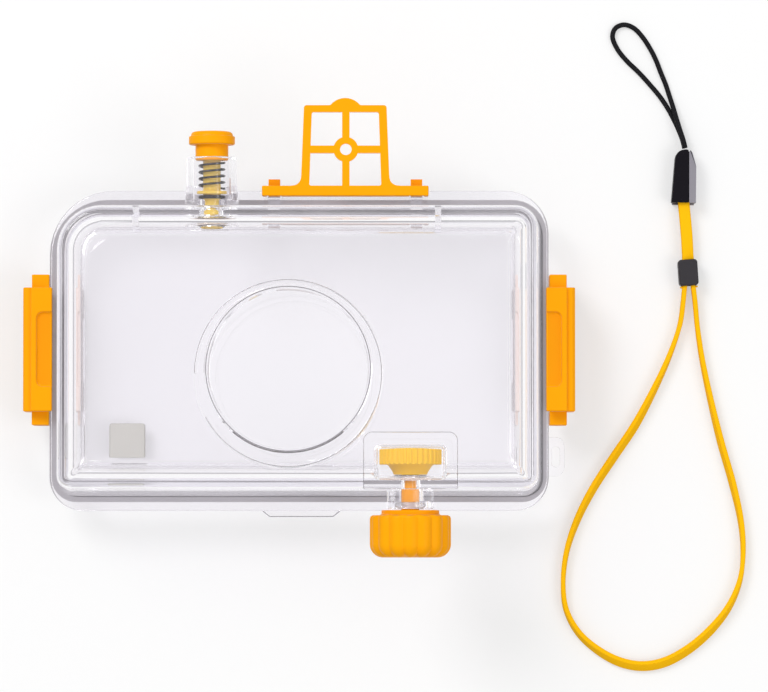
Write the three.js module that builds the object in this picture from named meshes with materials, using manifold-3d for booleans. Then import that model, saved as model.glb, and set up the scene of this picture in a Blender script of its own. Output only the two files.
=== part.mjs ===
// Underwater housing for a compact film camera, with its wrist strap laid beside it.
// Millimetres. The housing lies on its back: +Z is its front, +Y its top, +X its right side seen from the front.
// The origin is the middle of the flat back face.
import * as THREE from "three";
import { mergeVertices } from "three/addons/utils/BufferGeometryUtils.js";
import Module from "manifold-3d";

const wasm = await Module();
wasm.setup();

// Angles and counts of sides
const quarterTurn = Math.PI / 2;
const degree = Math.PI / 180;
const wideSides = 56;
const roundSides = 28;
const smallSides = 16;
const cornerSteps = 6;
const edgeSteps = 3;

// Fits that many pieces share
const fit = 0.3;
const runningFit = 0.2;
const overrun = 1;
const weld = 0.0001;

// Case: two deep clear shells that meet at a flange
const caseWidth = 126.5;
const caseHeight = 76;
const wall = 2.2;
const backPlate = 2.4;
const frontPlate = 2.4;
const coverDepth = 14;
const frontFace = 46;
const cornerTopLeft = 13;
const cornerTopRight = 7.5;
const cornerBottom = 5;
const draft = 1.6;
const edgeRound = 2.2;
const coverDraft = 0.6;
const coverRound = 1.6;
const innerRound = 6;
const floorRound = 4;
const flangeThickness = 3;
const flangeSide = 1.75;
const flangeEnd = 3.7;

// Seal in the cover's rim, just outside the case's outline
const sealWidth = 1;
const sealHeight = 1.5;
const sealOffset = 0.65;
const sealGap = 0.15;

// Stick-on pad inside the cover
const padSize = 9.4;
const padThickness = 2.2;
const padFromSide = 17.95;
const padFromBottom = 14.6;

// Strap eye on the cover's flange
const eyeY = -27.6;
const eyeLength = 10.2;
const eyeReach = 4.2;
const eyeSlotLength = 5.3;
const eyeSlotWidth = 2.2;
const eyeRound = 2.4;
const eyeBar = 1.2;

// Pry tab on the front flange
const tabX = 0.6;
const tabLength = 20.6;
const tabReach = 1.6;
const tabSlope = 2;

// Guide ribs under the top wall of the front shell
const ribXs = [-41.6, 36];
const ribWidth = 1.6;
const ribDrop = 2.2;
const ribBottom = 22;

// Lens port
const portX = -2.3;
const portY = -6.9;
const portOuterRadius = 24;
const portWall = 2.4;
const portBoreShift = 1.1;
const portRise = 7.5;
const windowThickness = 2;
const windowRecess = 0.5;
const windowLedge = 1;
const portNotchDepth = 1;
const portNotchHeight = 3;
const portNotchStart = 180 * degree;
const portNotchEnd = 208 * degree;
const portNotchSteps = 6;

// Shutter: turret on the top wall, with button, stem, spring and seals
const shutterX = -22.4;
const shutterZ = 30;
const turretRadius = 6.4;
const turretRise = 11.5;
const turretBore = 4.6;
const turretFloor = 0.3;
const turretFlare = 0.6;
const turretFlareHeight = 1.6;
const stemRadius = 2.3;
const stemTipRadius = 1.85;
const stemTipLength = 4.1;
const shutterTravel = 3;
const headRadius = 5.95;
const headHeight = 3.4;
const headRound = 1.1;
const neckRadius = 4.25;
const neckInside = 0.9;
const neckRoof = 1;
const ringSection = 0.45;
const washerRadius = 3.9;
const washerThickness = 0.8;
const springRadius = 3.2;
const springWire = 0.3;
const springTurns = 4;
const springSteps = 8;
const springSides = 5;
const footRadius = 2.9;
const footThickness = 1.3;

// Film advance: knob, shaft and ribbed wheel, with the clear pocket round the wheel
const advanceX = 28.85;
const advanceZ = 42;
const wheelRadius = 8.35;
const wheelThickness = 4.3;
const hubHeight = 2.75;
const wheelTeeth = 36;
const toothSteps = 4;
const toothDepth = 0.35;
const hubTopRadius = 5.6;
const hubEndRadius = 4.2;
const pocketHalfWidth = 12;
const pocketWall = 2.7;
const pocketTopWall = 3.1;
const pocketFrontWall = 2;
const wheelRoom = 0.8;
const pocketRound = 2.2;
const shaftRadius = 2.3;
const bossRadius = 6;
const bossLength = 3.4;
const knobSealSection = 0.7;
const clipThickness = 0.8;
const clipRadius = 4.2;
const knobRadius = 10.4;
const knobHeight = 10.8;
const knobRound = 3.4;
const knobFlutes = 16;
const fluteSteps = 6;
const fluteDepth = 0.5;
const collarRadius = 7.4;
const collarHeight = 1.3;
const knobFloor = 4;
const shaftInWheel = 6.6;

// Sports finder: frame, hinge bar, pin and the two blocks that carry it on clear bosses
const finderX = 12.1;
const finderZ = 30;
const finderAxisRise = 2.75;
const barHalfLength = 21.5;
const barHalfHeight = 1.3;
const finderThickness = 2;
const finderFace = 3.4;
const frameTop = 22.1;
const frameTopHalf = 10.65;
const frameFootHalf = 11.35;
const frameFoot = 4.15;
const flareHalf = 14.3;
const openingTop = 20.35;
const openingTopHalf = 8.65;
const openingFootHalf = 9.3;
const crossBar = 1.9;
const crossHeight = 10.7;
const crossX = 0.15;
const sightRadius = 3.2;
const sightHole = 1.5;
const domeHalf = 4.1;
const domeRise = 2;
const lugInset = 3.1;
const lugWidth = 3;
const lugRadius = 1.5;
const finderPinRadius = 0.6;
const lipThickness = 1;
const blockDrop = 1.2;
const blockReach = 4.9;
const pegThickness = 3;
const pegHeight = 3.25;

// Latches, measured from their pin outwards (x), along it (y) and up (z)
const latchY = 0.3;
const latchLength = 32.3;
const earLength = 3.5;
const earRadius = 2.25;
const earHeight = 9;
const pivotHeight = 6.2;
const leverThickness = 2.1;
const leverDrop = 1;
const leverChamfer = 0.8;
const leverTaper = 1;
const slotLength = 19.4;
const slotWidth = 3;
const slotDepth = 1;
const frameHeight = 7.8;
const hookGap = 0.35;
const hookThickness = 1.8;
const hookReach = 0.7;
const hookRise = 0.3;
const latchPinRadius = 0.8;
const latchLugRadius = 1.85;
const latchLugLength = 7.5;

// Wrist strap
const cordRadius = 0.65;
const cordSides = 8;
const ribbonHeight = 3;
const ribbonThickness = 1.5;
const ribbonChamfer = 0.4;
const strapHeight = 5;
const sliderWidth = 5.1;
const sliderLength = 6.9;
const claspLength = 14;
const claspTopWidth = 4.5;
const claspFootWidth = 6.4;
const claspInsertWidth = 1.6;
const claspLean = -0.8 * degree;
const twinWidth = 3;
const twinThickness = 2.7;
const claspFoot = new THREE.Vector3(100.9, 39.4, 0);
const sliderMiddle = new THREE.Vector3(102.1, 21, 0);
const loopSteps = 46;
const cordSteps = 30;

// Places that follow from the sizes
const caseTop = caseHeight / 2;
const caseSide = caseWidth / 2;
const flangeSideEdge = caseSide + flangeSide;
const shellBottom = coverDepth + fit;
const flangeTop = shellBottom + flangeThickness;
const portFront = frontFace + portRise;
const portBore = portOuterRadius - portWall;
const pivotX = flangeSideEdge + fit + earRadius;
const stemHole = stemRadius + fit;
const turretTop = caseTop + turretRise;
const seatFloor = caseTop + turretFloor;
const washerFoot = seatFloor + fit + 2 * ringSection + fit;
const springFoot = washerFoot + washerThickness + fit;
const neckFoot = turretTop - neckInside;
const springTop = neckFoot - fit;
const headFoot = turretTop + shutterTravel + fit;
const footTop = caseTop - wall - fit;
const wheelFront = advanceZ + wheelRadius;
const pocketInside = wheelFront + wheelRoom;
const pocketFront = pocketInside + pocketFrontWall;
const shaftHole = shaftRadius + fit;
const bossEnd = -caseTop - bossLength;
const collarTop = bossEnd - fit;
const knobTop = collarTop - collarHeight;
const knobEnd = knobTop - knobHeight;
const pocketFoot = -caseTop + draft;
const innerFloor = pocketFoot + wall;
const clipFoot = innerFloor + fit;
const hubEnd = clipFoot + clipThickness + fit;
const wheelTop = hubEnd + hubHeight + wheelThickness;
const pocketInsideTop = wheelTop + wheelRoom;
const pocketTop = pocketInsideTop + pocketTopWall;
const finderAxis = caseTop + finderAxisRise;
const lugSpacing = barHalfLength - lugInset;

// Finishes
const clearPlastic = { color: 0xe9e8f2, roughness: 0.08, metalness: 0 };
const orangePlastic = { color: 0xffae12, roughness: 0.35, metalness: 0 };
const amberPlastic = { color: 0xf2b93a, roughness: 0.3, metalness: 0 };
const greyRubber = { color: 0xacaaac, roughness: 0.6, metalness: 0 };
const blackRubber = { color: 0x1b1a1d, roughness: 0.6, metalness: 0 };
const springSteel = { color: 0xb9b6ad, roughness: 0.3, metalness: 1 };
const clearSilicone = { color: 0xd9d7da, roughness: 0.45, metalness: 0 };
const blackPlastic = { color: 0x1a181b, roughness: 0.45, metalness: 0 };
const greyPlastic = { color: 0x9b98a3, roughness: 0.4, metalness: 0 };
const padFoam = { color: 0xd8d4cb, roughness: 0.9, metalness: 0 };
const orangeWebbing = { color: 0xffb818, roughness: 0.7, metalness: 0 };

// A closed geometry as a solid that can be joined and cut
function solid(geometry) {
  const bare = geometry.clone();
  bare.deleteAttribute("normal");
  bare.deleteAttribute("uv");
  const merged = mergeVertices(bare, weld);
  const mesh = new wasm.Mesh({
    numProp: 3,
    vertProperties: merged.attributes.position.array,
    triVerts: new Uint32Array(merged.index.array),
  });
  return new wasm.Manifold(mesh);
}

// The solid back as a geometry with flat faces
function geometryOf(made) {
  const mesh = made.getMesh();
  const geometry = new THREE.BufferGeometry();
  geometry.setAttribute("position", new THREE.BufferAttribute(mesh.vertProperties, 3));
  geometry.setIndex(new THREE.BufferAttribute(mesh.triVerts, 1));
  const faceted = geometry.toNonIndexed();
  faceted.computeVertexNormals();
  return faceted;
}

function join(first, ...others) {
  return others.reduce((whole, piece) => whole.add(piece), first);
}

function cut(first, ...others) {
  return others.reduce((whole, piece) => whole.subtract(piece), first);
}

// A named piece, placed by its position
function piece(name, made, finish, place = new THREE.Vector3()) {
  const geometry = made.isBufferGeometry ? made : geometryOf(made);
  const mesh = new THREE.Mesh(geometry, new THREE.MeshStandardMaterial(finish));
  mesh.name = name;
  mesh.position.copy(place);
  return mesh;
}

function block(xs, ys, zs) {
  const box = new THREE.BoxGeometry(xs[1] - xs[0], ys[1] - ys[0], zs[1] - zs[0]);
  box.translate((xs[0] + xs[1]) / 2, (ys[0] + ys[1]) / 2, (zs[0] + zs[1]) / 2);
  return solid(box);
}

// A rounded rectangle round a middle; radii run top left, top right, bottom right, bottom left
function roundedShape(middle, width, height, radii) {
  const [left, right] = [middle.x - width / 2, middle.x + width / 2];
  const [bottom, top] = [middle.y - height / 2, middle.y + height / 2];
  const [topLeft, topRight, bottomRight, bottomLeft] = radii;
  const shape = new THREE.Shape();
  shape.moveTo(left + bottomLeft, bottom);
  shape.lineTo(right - bottomRight, bottom);
  shape.absarc(right - bottomRight, bottom + bottomRight, bottomRight, -quarterTurn, 0);
  shape.lineTo(right, top - topRight);
  shape.absarc(right - topRight, top - topRight, topRight, 0, quarterTurn);
  shape.lineTo(left + topLeft, top);
  shape.absarc(left + topLeft, top - topLeft, topLeft, quarterTurn, 2 * quarterTurn);
  shape.lineTo(left, bottom + bottomLeft);
  shape.absarc(left + bottomLeft, bottom + bottomLeft, bottomLeft, 2 * quarterTurn, 3 * quarterTurn);
  return shape;
}

function slab(shape, bottom, top) {
  const depth = top - bottom;
  const flat = new THREE.ExtrudeGeometry(shape, { depth, bevelEnabled: false, curveSegments: cornerSteps });
  flat.translate(0, 0, bottom);
  return solid(flat);
}

// A profile of (x, z) points pushed along y about a middle
function along(points, length, middle) {
  const shape = new THREE.Shape(points);
  const bar = new THREE.ExtrudeGeometry(shape, { depth: length, bevelEnabled: false });
  bar.translate(0, 0, -length / 2);
  bar.rotateX(quarterTurn);
  bar.translate(0, middle, 0);
  return solid(bar);
}

// A round bar along one axis of the frame, through a centre
function roundBar(direction, centre, radius, from, to, sides = smallSides) {
  const bar = new THREE.CylinderGeometry(radius, radius, to - from, sides);
  bar.translate(0, (from + to) / 2, 0);
  if (direction === "x") bar.rotateZ(-quarterTurn);
  if (direction === "z") bar.rotateX(quarterTurn);
  bar.translate(centre.x, centre.y, centre.z);
  return solid(bar);
}

// A profile of (radius, height) points, written upwards on the outside, turned about the y axis
function turned(points, sides = roundSides) {
  return solid(new THREE.LatheGeometry(points, sides));
}

function ring(outer, inner, bottom, top, sides = roundSides) {
  const corners = [
    new THREE.Vector2(inner, bottom),
    new THREE.Vector2(outer, bottom),
    new THREE.Vector2(outer, top),
    new THREE.Vector2(inner, top),
    new THREE.Vector2(inner, bottom),
  ];
  return turned(corners, sides);
}

// A rubber ring of round section that lies about the y axis
function rubberRing(inner, section, middle) {
  const torus = new THREE.TorusGeometry(inner + section, section, smallSides / 2, roundSides);
  torus.rotateX(quarterTurn);
  torus.translate(0, middle, 0);
  return solid(torus);
}

// Outline of the case, moved outwards by an offset at the sides and at the ends
function caseOutline(side, end = side) {
  const radii = [cornerTopLeft, cornerTopRight, cornerBottom, cornerBottom];
  const grown = radii.map((radius) => Math.max(radius + Math.max(side, end), radius / 4));
  return roundedShape(new THREE.Vector2(), caseWidth + 2 * side, caseHeight + 2 * end, grown);
}

// A case outline's points, without the ones that repeat where its lines and arcs meet
function outlinePoints(inset) {
  const points = caseOutline(-inset).getPoints(cornerSteps);
  return points.filter((point, i) => point.distanceTo(points[(i + 1) % points.length]) > weld);
}

// Heights and insets of a shell's skin: a leaning wall from the rim, then a round edge to the face
function shellLevels(rim, face, inset, lean, round) {
  const towards = Math.sign(face - rim);
  const levels = [[rim, inset]];
  for (let i = 0; i <= edgeSteps; i++) {
    const angle = (i / edgeSteps) * quarterTurn;
    const height = face - towards * round * (1 - Math.sin(angle));
    levels.push([height, inset + lean + round * (1 - Math.cos(angle))]);
  }
  return towards > 0 ? levels : levels.reverse();
}

// A closed skin through case outlines at rising heights
function loft(levels) {
  const rings = levels.map(([height, inset]) => {
    return outlinePoints(inset).map((point) => new THREE.Vector3(point.x, point.y, height));
  });
  const count = rings[0].length;
  const last = (rings.length - 1) * count;
  const faces = [];
  for (let i = 0; i + 1 < rings.length; i++) {
    for (let k = 0; k < count; k++) {
      const [a, b] = [i * count + k, i * count + ((k + 1) % count)];
      faces.push(a, b, b + count, a, b + count, a + count);
    }
  }
  const flat = (ring) => ring.map((point) => new THREE.Vector2(point.x, point.y));
  THREE.ShapeUtils.triangulateShape(flat(rings[0]), []).forEach(([a, b, c]) => faces.push(a, c, b));
  THREE.ShapeUtils.triangulateShape(flat(rings.at(-1)), []).forEach(([a, b, c]) => {
    faces.push(last + a, last + b, last + c);
  });
  const geometry = new THREE.BufferGeometry().setFromPoints(rings.flat());
  geometry.setIndex(faces);
  return solid(geometry);
}

// Rear cover

function latchLugs() {
  const halfBar = latchLength / 2 - fit;
  const lugs = [1, -1].flatMap((side) => {
    return [1, -1].map((end) => {
      const ys = [halfBar - latchLugLength, halfBar].map((y) => latchY + end * y).sort((a, b) => a - b);
      const xs = [caseSide - wall / 2, pivotX].map((x) => side * x).sort((a, b) => a - b);
      const zs = [pivotHeight - latchLugRadius, pivotHeight + latchLugRadius];
      const centre = new THREE.Vector3(side * pivotX, 0, pivotHeight);
      const eye = roundBar("y", centre, latchLugRadius, ys[0], ys[1]);
      const hole = roundBar("y", centre, latchPinRadius + runningFit, ys[0] - overrun, ys[1] + overrun);
      return cut(join(block(xs, ys, zs), eye), hole);
    });
  });
  return join(...lugs);
}

function strapEye() {
  const reach = eyeReach + flangeSide;
  const lugMiddle = new THREE.Vector2(caseSide + reach / 2, eyeY);
  const radii = [fit, eyeRound, eyeRound, fit];
  const lug = slab(
    roundedShape(lugMiddle, reach, eyeLength, radii),
    coverDepth - flangeThickness,
    coverDepth,
  );
  const slotX = flangeSideEdge + eyeReach - eyeBar - eyeSlotWidth / 2;
  const slotMiddle = new THREE.Vector2(slotX, eyeY);
  const slotRadii = Array(radii.length).fill(eyeSlotWidth / 3);
  const slot = slab(roundedShape(slotMiddle, eyeSlotWidth, eyeSlotLength, slotRadii), 0, coverDepth + overrun);
  return [lug, slot];
}

function rearCover() {
  const [lug, slot] = strapEye();
  const outer = join(
    loft(shellLevels(coverDepth, 0, 0, coverDraft, coverRound)),
    slab(caseOutline(flangeSide, flangeEnd), coverDepth - flangeThickness, coverDepth),
    lug,
  );
  const hollow = loft(shellLevels(coverDepth + overrun, backPlate, wall, coverDraft, floorRound));
  const grooveFoot = coverDepth - sealHeight - fit;
  const grooveHalf = sealWidth / 2 + sealGap;
  const groove = slab(caseOutline(sealOffset + grooveHalf), grooveFoot, coverDepth + overrun);
  const core = slab(caseOutline(sealOffset - grooveHalf), grooveFoot - overrun, coverDepth + 2 * overrun);
  return join(cut(outer, hollow, slot, cut(groove, core)), latchLugs());
}

function mainSeal() {
  const top = coverDepth;
  const half = sealWidth / 2;
  const outer = slab(caseOutline(sealOffset + half), top - sealHeight, top);
  const inner = slab(caseOutline(sealOffset - half), top - sealHeight - overrun, top + overrun);
  return cut(outer, inner);
}

// Front shell

function portTube() {
  const tube = new THREE.LatheGeometry(
    [
      new THREE.Vector2(0, frontFace - frontPlate),
      new THREE.Vector2(portOuterRadius, frontFace - frontPlate),
      new THREE.Vector2(portOuterRadius, portFront),
      new THREE.Vector2(0, portFront),
    ],
    wideSides,
  );
  tube.rotateX(quarterTurn);
  tube.translate(portX, portY, 0);
  return solid(tube);
}

function portHollow() {
  const centre = new THREE.Vector3(portX, portY + portBoreShift, 0);
  const seat = portFront - windowRecess - windowThickness - fit;
  const bore = roundBar("z", centre, portBore, seat, portFront + overrun, wideSides);
  const ledge = roundBar("z", centre, portBore - windowLedge, frontFace - 2 * frontPlate, portFront, wideSides);
  return join(bore, ledge);
}

// A shallow bay in the side of the port's rim
function portNotch() {
  const shape = new THREE.Shape();
  const inner = portOuterRadius - portNotchDepth;
  const outer = portOuterRadius + overrun;
  for (let i = 0; i <= portNotchSteps; i++) {
    const angle = THREE.MathUtils.lerp(portNotchStart, portNotchEnd, i / portNotchSteps);
    const point = [outer * Math.cos(angle), outer * Math.sin(angle)];
    if (i) shape.lineTo(...point);
    else shape.moveTo(...point);
  }
  for (let i = portNotchSteps; i >= 0; i--) {
    const angle = THREE.MathUtils.lerp(portNotchStart, portNotchEnd, i / portNotchSteps);
    shape.lineTo(inner * Math.cos(angle), inner * Math.sin(angle));
  }
  const notch = slab(shape, portFront - portNotchHeight, portFront + overrun);
  return notch.translate([portX, portY, 0]);
}

function turret() {
  const profile = [
    new THREE.Vector2(0, caseTop - wall),
    new THREE.Vector2(turretRadius + turretFlare, caseTop - wall),
    new THREE.Vector2(turretRadius + turretFlare, caseTop + turretFlareHeight / 2),
    new THREE.Vector2(turretRadius, caseTop + turretFlareHeight),
    new THREE.Vector2(turretRadius, turretTop),
    new THREE.Vector2(0, turretTop),
  ];
  return turned(profile).translate([shutterX, 0, shutterZ]);
}

function turretHollow() {
  const centre = new THREE.Vector3(shutterX, 0, shutterZ);
  const well = roundBar("y", centre, turretBore, seatFloor, turretTop + overrun, roundSides);
  const hole = roundBar("y", centre, stemHole, caseTop - wall - overrun, turretTop);
  const flat = footRadius + fit;
  const spotFace = roundBar("y", centre, flat, caseTop - wall - draft - overrun, caseTop - wall, roundSides);
  return join(well, hole, spotFace);
}

function wheelPocket() {
  const height = pocketTop - pocketFoot;
  const middle = new THREE.Vector2(advanceX, pocketTop - height / 2);
  const radii = [pocketRound, pocketRound, fit, fit];
  const shape = roundedShape(middle, 2 * pocketHalfWidth, height, radii);
  return slab(shape, frontFace - frontPlate, pocketFront);
}

function pocketHollow() {
  const xs = [-1, 1].map((side) => advanceX + side * (pocketHalfWidth - pocketWall));
  const zs = [frontFace - frontPlate - innerRound - overrun, pocketInside];
  return block(xs, [innerFloor, pocketInsideTop], zs);
}

function knobBoss() {
  const centre = new THREE.Vector3(advanceX, 0, advanceZ);
  return roundBar("y", centre, bossRadius, bossEnd, innerFloor - wall / 2, roundSides);
}

function shaftBore() {
  const centre = new THREE.Vector3(advanceX, 0, advanceZ);
  const sealSeat = shaftRadius + 2 * knobSealSection + 2 * fit;
  const seatDepth = 2 * knobSealSection + 2 * fit;
  const bore = roundBar("y", centre, shaftHole, bossEnd - overrun, innerFloor + overrun);
  const seat = roundBar("y", centre, sealSeat, bossEnd - overrun, bossEnd + seatDepth);
  return join(bore, seat);
}

function pryTab() {
  const half = tabLength / 2;
  const end = -caseTop - flangeEnd;
  const shape = new THREE.Shape([
    new THREE.Vector2(tabX - half, end + flangeEnd / 2),
    new THREE.Vector2(tabX - half, end),
    new THREE.Vector2(tabX - half + tabSlope, end - tabReach),
    new THREE.Vector2(tabX + half - tabSlope, end - tabReach),
    new THREE.Vector2(tabX + half, end),
    new THREE.Vector2(tabX + half, end + flangeEnd / 2),
  ]);
  return slab(shape, shellBottom, flangeTop);
}

function guideRibs() {
  const ribs = ribXs.map((x) => {
    const ys = [caseTop - wall - draft - ribDrop, caseTop - draft - fit];
    return block([x - ribWidth / 2, x + ribWidth / 2], ys, [ribBottom, frontFace - frontPlate / 2]);
  });
  return join(...ribs);
}

// Bosses on the top wall, under the finder's blocks
function finderBosses() {
  const bosses = [-1, 1].map((side) => {
    const middle = finderX + side * lugSpacing;
    const xs = [middle - lugWidth / 2, middle + lugWidth / 2];
    const ys = [caseTop - draft, finderAxis - blockDrop - fit];
    return block(xs, ys, [finderZ - blockReach, finderZ + lugRadius]);
  });
  return join(...bosses);
}

function frontShell() {
  const skin = join(
    loft(shellLevels(shellBottom, frontFace, 0, draft, edgeRound)),
    slab(caseOutline(flangeSide, flangeEnd), shellBottom, flangeTop),
    pryTab(),
    portTube(),
    wheelPocket(),
    turret(),
    knobBoss(),
    finderBosses(),
  );
  const inside = frontFace - frontPlate;
  const hollow = loft(shellLevels(shellBottom - overrun, inside, wall, draft, innerRound));
  const open = cut(skin, hollow, portHollow(), portNotch(), pocketHollow(), turretHollow(), shaftBore());
  return join(open, guideRibs());
}

function portWindow() {
  const centre = new THREE.Vector3();
  return roundBar("z", centre, portBore - fit, 0, windowThickness, wideSides);
}

// Shutter pieces, in heights along the stem from the frame's origin

function shutterButton() {
  const top = headFoot + headHeight;
  const bore = stemRadius + fit;
  const roof = headFoot + headHeight - neckRoof - fit;
  const profile = [
    new THREE.Vector2(bore, neckFoot),
    new THREE.Vector2(neckRadius, neckFoot),
    new THREE.Vector2(neckRadius, headFoot),
    new THREE.Vector2(headRadius, headFoot),
    new THREE.Vector2(headRadius, top - headRound),
    new THREE.Vector2(headRadius - headRound / 4, top - headRound / 3),
    new THREE.Vector2(headRadius - headRound, top),
    new THREE.Vector2(0, top),
    new THREE.Vector2(0, roof),
    new THREE.Vector2(bore, roof),
    new THREE.Vector2(bore, neckFoot),
  ];
  return turned(profile);
}

function shutterStem() {
  const top = headFoot + headHeight - neckRoof - 2 * fit;
  const tipEnd = footTop - footThickness;
  const shoulder = tipEnd + stemTipLength;
  const profile = [
    new THREE.Vector2(0, tipEnd),
    new THREE.Vector2(stemTipRadius, tipEnd),
    new THREE.Vector2(stemTipRadius, shoulder),
    new THREE.Vector2(stemRadius, shoulder),
    new THREE.Vector2(stemRadius, top),
    new THREE.Vector2(0, top),
  ];
  return turned(profile, smallSides);
}

// Points on the spring's middle line
function springLine() {
  const count = springTurns * springSteps;
  const bottom = springFoot + springWire;
  const rise = springTop - springFoot - 2 * springWire;
  return Array.from({ length: count + 1 }, (_, i) => {
    const angle = (i / springSteps) * 2 * Math.PI;
    const height = bottom + (rise * i) / count;
    return new THREE.Vector3(springRadius * Math.cos(angle), height, springRadius * Math.sin(angle));
  });
}

// One unbroken wire: a ring of points round each point of the line, skinned and capped
function wireAlong(line, radius, sides) {
  const axis = new THREE.Vector3(0, 1, 0);
  const places = line.flatMap((point) => {
    const outwards = new THREE.Vector3(point.x, 0, point.z).normalize();
    return Array.from({ length: sides }, (_, k) => {
      const angle = (k / sides) * 2 * Math.PI;
      const across = outwards.clone().multiplyScalar(radius * Math.cos(angle));
      return point.clone().add(across).addScaledVector(axis, radius * Math.sin(angle));
    });
  });
  const faces = [];
  for (let i = 0; i + 1 < line.length; i++) {
    for (let k = 0; k < sides; k++) {
      const [a, b] = [i * sides + k, i * sides + ((k + 1) % sides)];
      faces.push(a, b, a + sides, b, b + sides, a + sides);
    }
  }
  const last = (line.length - 1) * sides;
  for (let k = 1; k + 1 < sides; k++) {
    faces.push(0, k + 1, k, last, last + k, last + k + 1);
  }
  const geometry = new THREE.BufferGeometry().setFromPoints(places);
  geometry.setIndex(faces);
  return geometry;
}

// Least clear gap between points of the line that are half a turn or more apart
function leastGap(line, radius) {
  let least = Infinity;
  line.forEach((point, i) => {
    line.slice(i + springSteps / 2).forEach((other) => {
      least = Math.min(least, point.distanceTo(other) - 2 * radius);
    });
  });
  return least;
}

function shutterFoot() {
  return ring(footRadius, stemTipRadius + fit, footTop - footThickness, footTop);
}

// Film advance pieces, about their shaft

function driveWheel() {
  const shape = new THREE.Shape();
  const points = wheelTeeth * toothSteps;
  for (let i = 0; i < points; i++) {
    const radius = i % toothSteps < toothSteps / 2 ? wheelRadius : wheelRadius - toothDepth;
    const angle = (i / points) * 2 * Math.PI;
    const place = [radius * Math.cos(angle), radius * Math.sin(angle)];
    if (i) shape.lineTo(...place);
    else shape.moveTo(...place);
  }
  const disc = slab(shape, 0, wheelThickness).rotate([90, 0, 0]).translate([0, wheelTop, 0]);
  const discFoot = wheelTop - wheelThickness;
  const bowl = turned([
    new THREE.Vector2(0, hubEnd),
    new THREE.Vector2(hubEndRadius, hubEnd),
    new THREE.Vector2((hubTopRadius + hubEndRadius) / 2, (hubEnd + discFoot) / 2 - toothDepth),
    new THREE.Vector2(hubTopRadius, discFoot + toothDepth),
    new THREE.Vector2(0, discFoot + wheelThickness / 2),
  ]);
  const bore = roundBar("y", new THREE.Vector3(), shaftHole, hubEnd - overrun, hubEnd + shaftInWheel + fit);
  return cut(join(disc, bowl), bore);
}

function advanceShaft() {
  const bottom = knobEnd + knobFloor + fit;
  return roundBar("y", new THREE.Vector3(), shaftRadius, bottom, hubEnd + shaftInWheel);
}

function advanceKnob() {
  const body = turned([
    new THREE.Vector2(0, knobEnd),
    new THREE.Vector2(knobRadius - knobRound, knobEnd),
    new THREE.Vector2(knobRadius - knobRound / 2, knobEnd + knobRound / 8),
    new THREE.Vector2(knobRadius - knobRound / 8, knobEnd + knobRound / 2),
    new THREE.Vector2(knobRadius, knobEnd + knobRound),
    new THREE.Vector2(knobRadius, knobTop - fluteDepth),
    new THREE.Vector2(knobRadius - fluteDepth, knobTop),
    new THREE.Vector2(collarRadius, knobTop),
    new THREE.Vector2(collarRadius, collarTop),
    new THREE.Vector2(0, collarTop),
  ]);
  const shape = new THREE.Shape();
  const points = knobFlutes * fluteSteps;
  for (let i = 0; i < points; i++) {
    const wave = Math.abs(Math.cos((i / points) * knobFlutes * Math.PI));
    const radius = knobRadius - fluteDepth * (1 - wave);
    const angle = (i / points) * 2 * Math.PI;
    const place = [radius * Math.cos(angle), radius * Math.sin(angle)];
    if (i) shape.lineTo(...place);
    else shape.moveTo(...place);
  }
  const height = collarTop - knobEnd + 2 * overrun;
  const fluted = slab(shape, 0, height).rotate([90, 0, 0]).translate([0, collarTop + overrun, 0]);
  const bore = roundBar("y", new THREE.Vector3(), shaftHole, knobEnd + knobFloor, collarTop + overrun);
  return cut(body.intersect(fluted), bore);
}

// Finder pieces, about the hinge axis: x along it, y up the frame, z towards the front

function frameShape() {
  const shape = new THREE.Shape();
  shape.moveTo(-flareHalf, 0);
  shape.lineTo(-flareHalf, barHalfHeight);
  shape.quadraticCurveTo(-frameFootHalf, barHalfHeight, -frameFootHalf, frameFoot);
  shape.lineTo(-frameTopHalf, frameTop);
  shape.lineTo(-domeHalf, frameTop);
  shape.quadraticCurveTo(0, frameTop + 2 * domeRise, domeHalf, frameTop);
  shape.lineTo(frameTopHalf, frameTop);
  shape.lineTo(frameFootHalf, frameFoot);
  shape.quadraticCurveTo(frameFootHalf, barHalfHeight, flareHalf, barHalfHeight);
  shape.lineTo(flareHalf, 0);
  return shape;
}

function finderFrame() {
  const [back, front] = [finderFace - finderThickness, finderFace];
  const sheet = slab(frameShape(), back, front);
  const opening = slab(
    new THREE.Shape([
      new THREE.Vector2(-openingFootHalf, barHalfHeight),
      new THREE.Vector2(openingFootHalf, barHalfHeight),
      new THREE.Vector2(openingTopHalf, openingTop),
      new THREE.Vector2(-openingTopHalf, openingTop),
    ]),
    back - overrun,
    front + overrun,
  );
  const depth = [back, front];
  const upright = block([crossX - crossBar / 2, crossX + crossBar / 2], [0, openingTop + fit], depth);
  const across = [crossHeight - crossBar / 2, crossHeight + crossBar / 2];
  const level = block([-openingFootHalf, openingFootHalf], across, depth);
  const centre = new THREE.Vector3(crossX, crossHeight, 0);
  const sight = roundBar("z", centre, sightRadius, back, front, roundSides);
  const hole = roundBar("z", centre, sightHole, back - overrun, front + overrun);
  const window = cut(join(cut(sheet, opening), upright, level, sight), hole);
  return join(window, hingeBar());
}

function hingeBar() {
  const ys = [-barHalfHeight, barHalfHeight];
  const bar = block([-barHalfLength, barHalfLength], ys, [-barHalfHeight, finderFace]);
  const lip = finderFace - lipThickness;
  const notches = [-1, 1].map((side) => {
    const xs = [-1, 1].map((end) => side * lugSpacing + end * (lugWidth / 2 + fit));
    return block(xs, [-2 * barHalfHeight, 2 * barHalfHeight], [-2 * barHalfHeight, lip]);
  });
  const end = barHalfLength + overrun;
  const bore = roundBar("x", new THREE.Vector3(), finderPinRadius + runningFit, -end, end);
  return cut(bar, ...notches, bore);
}

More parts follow.
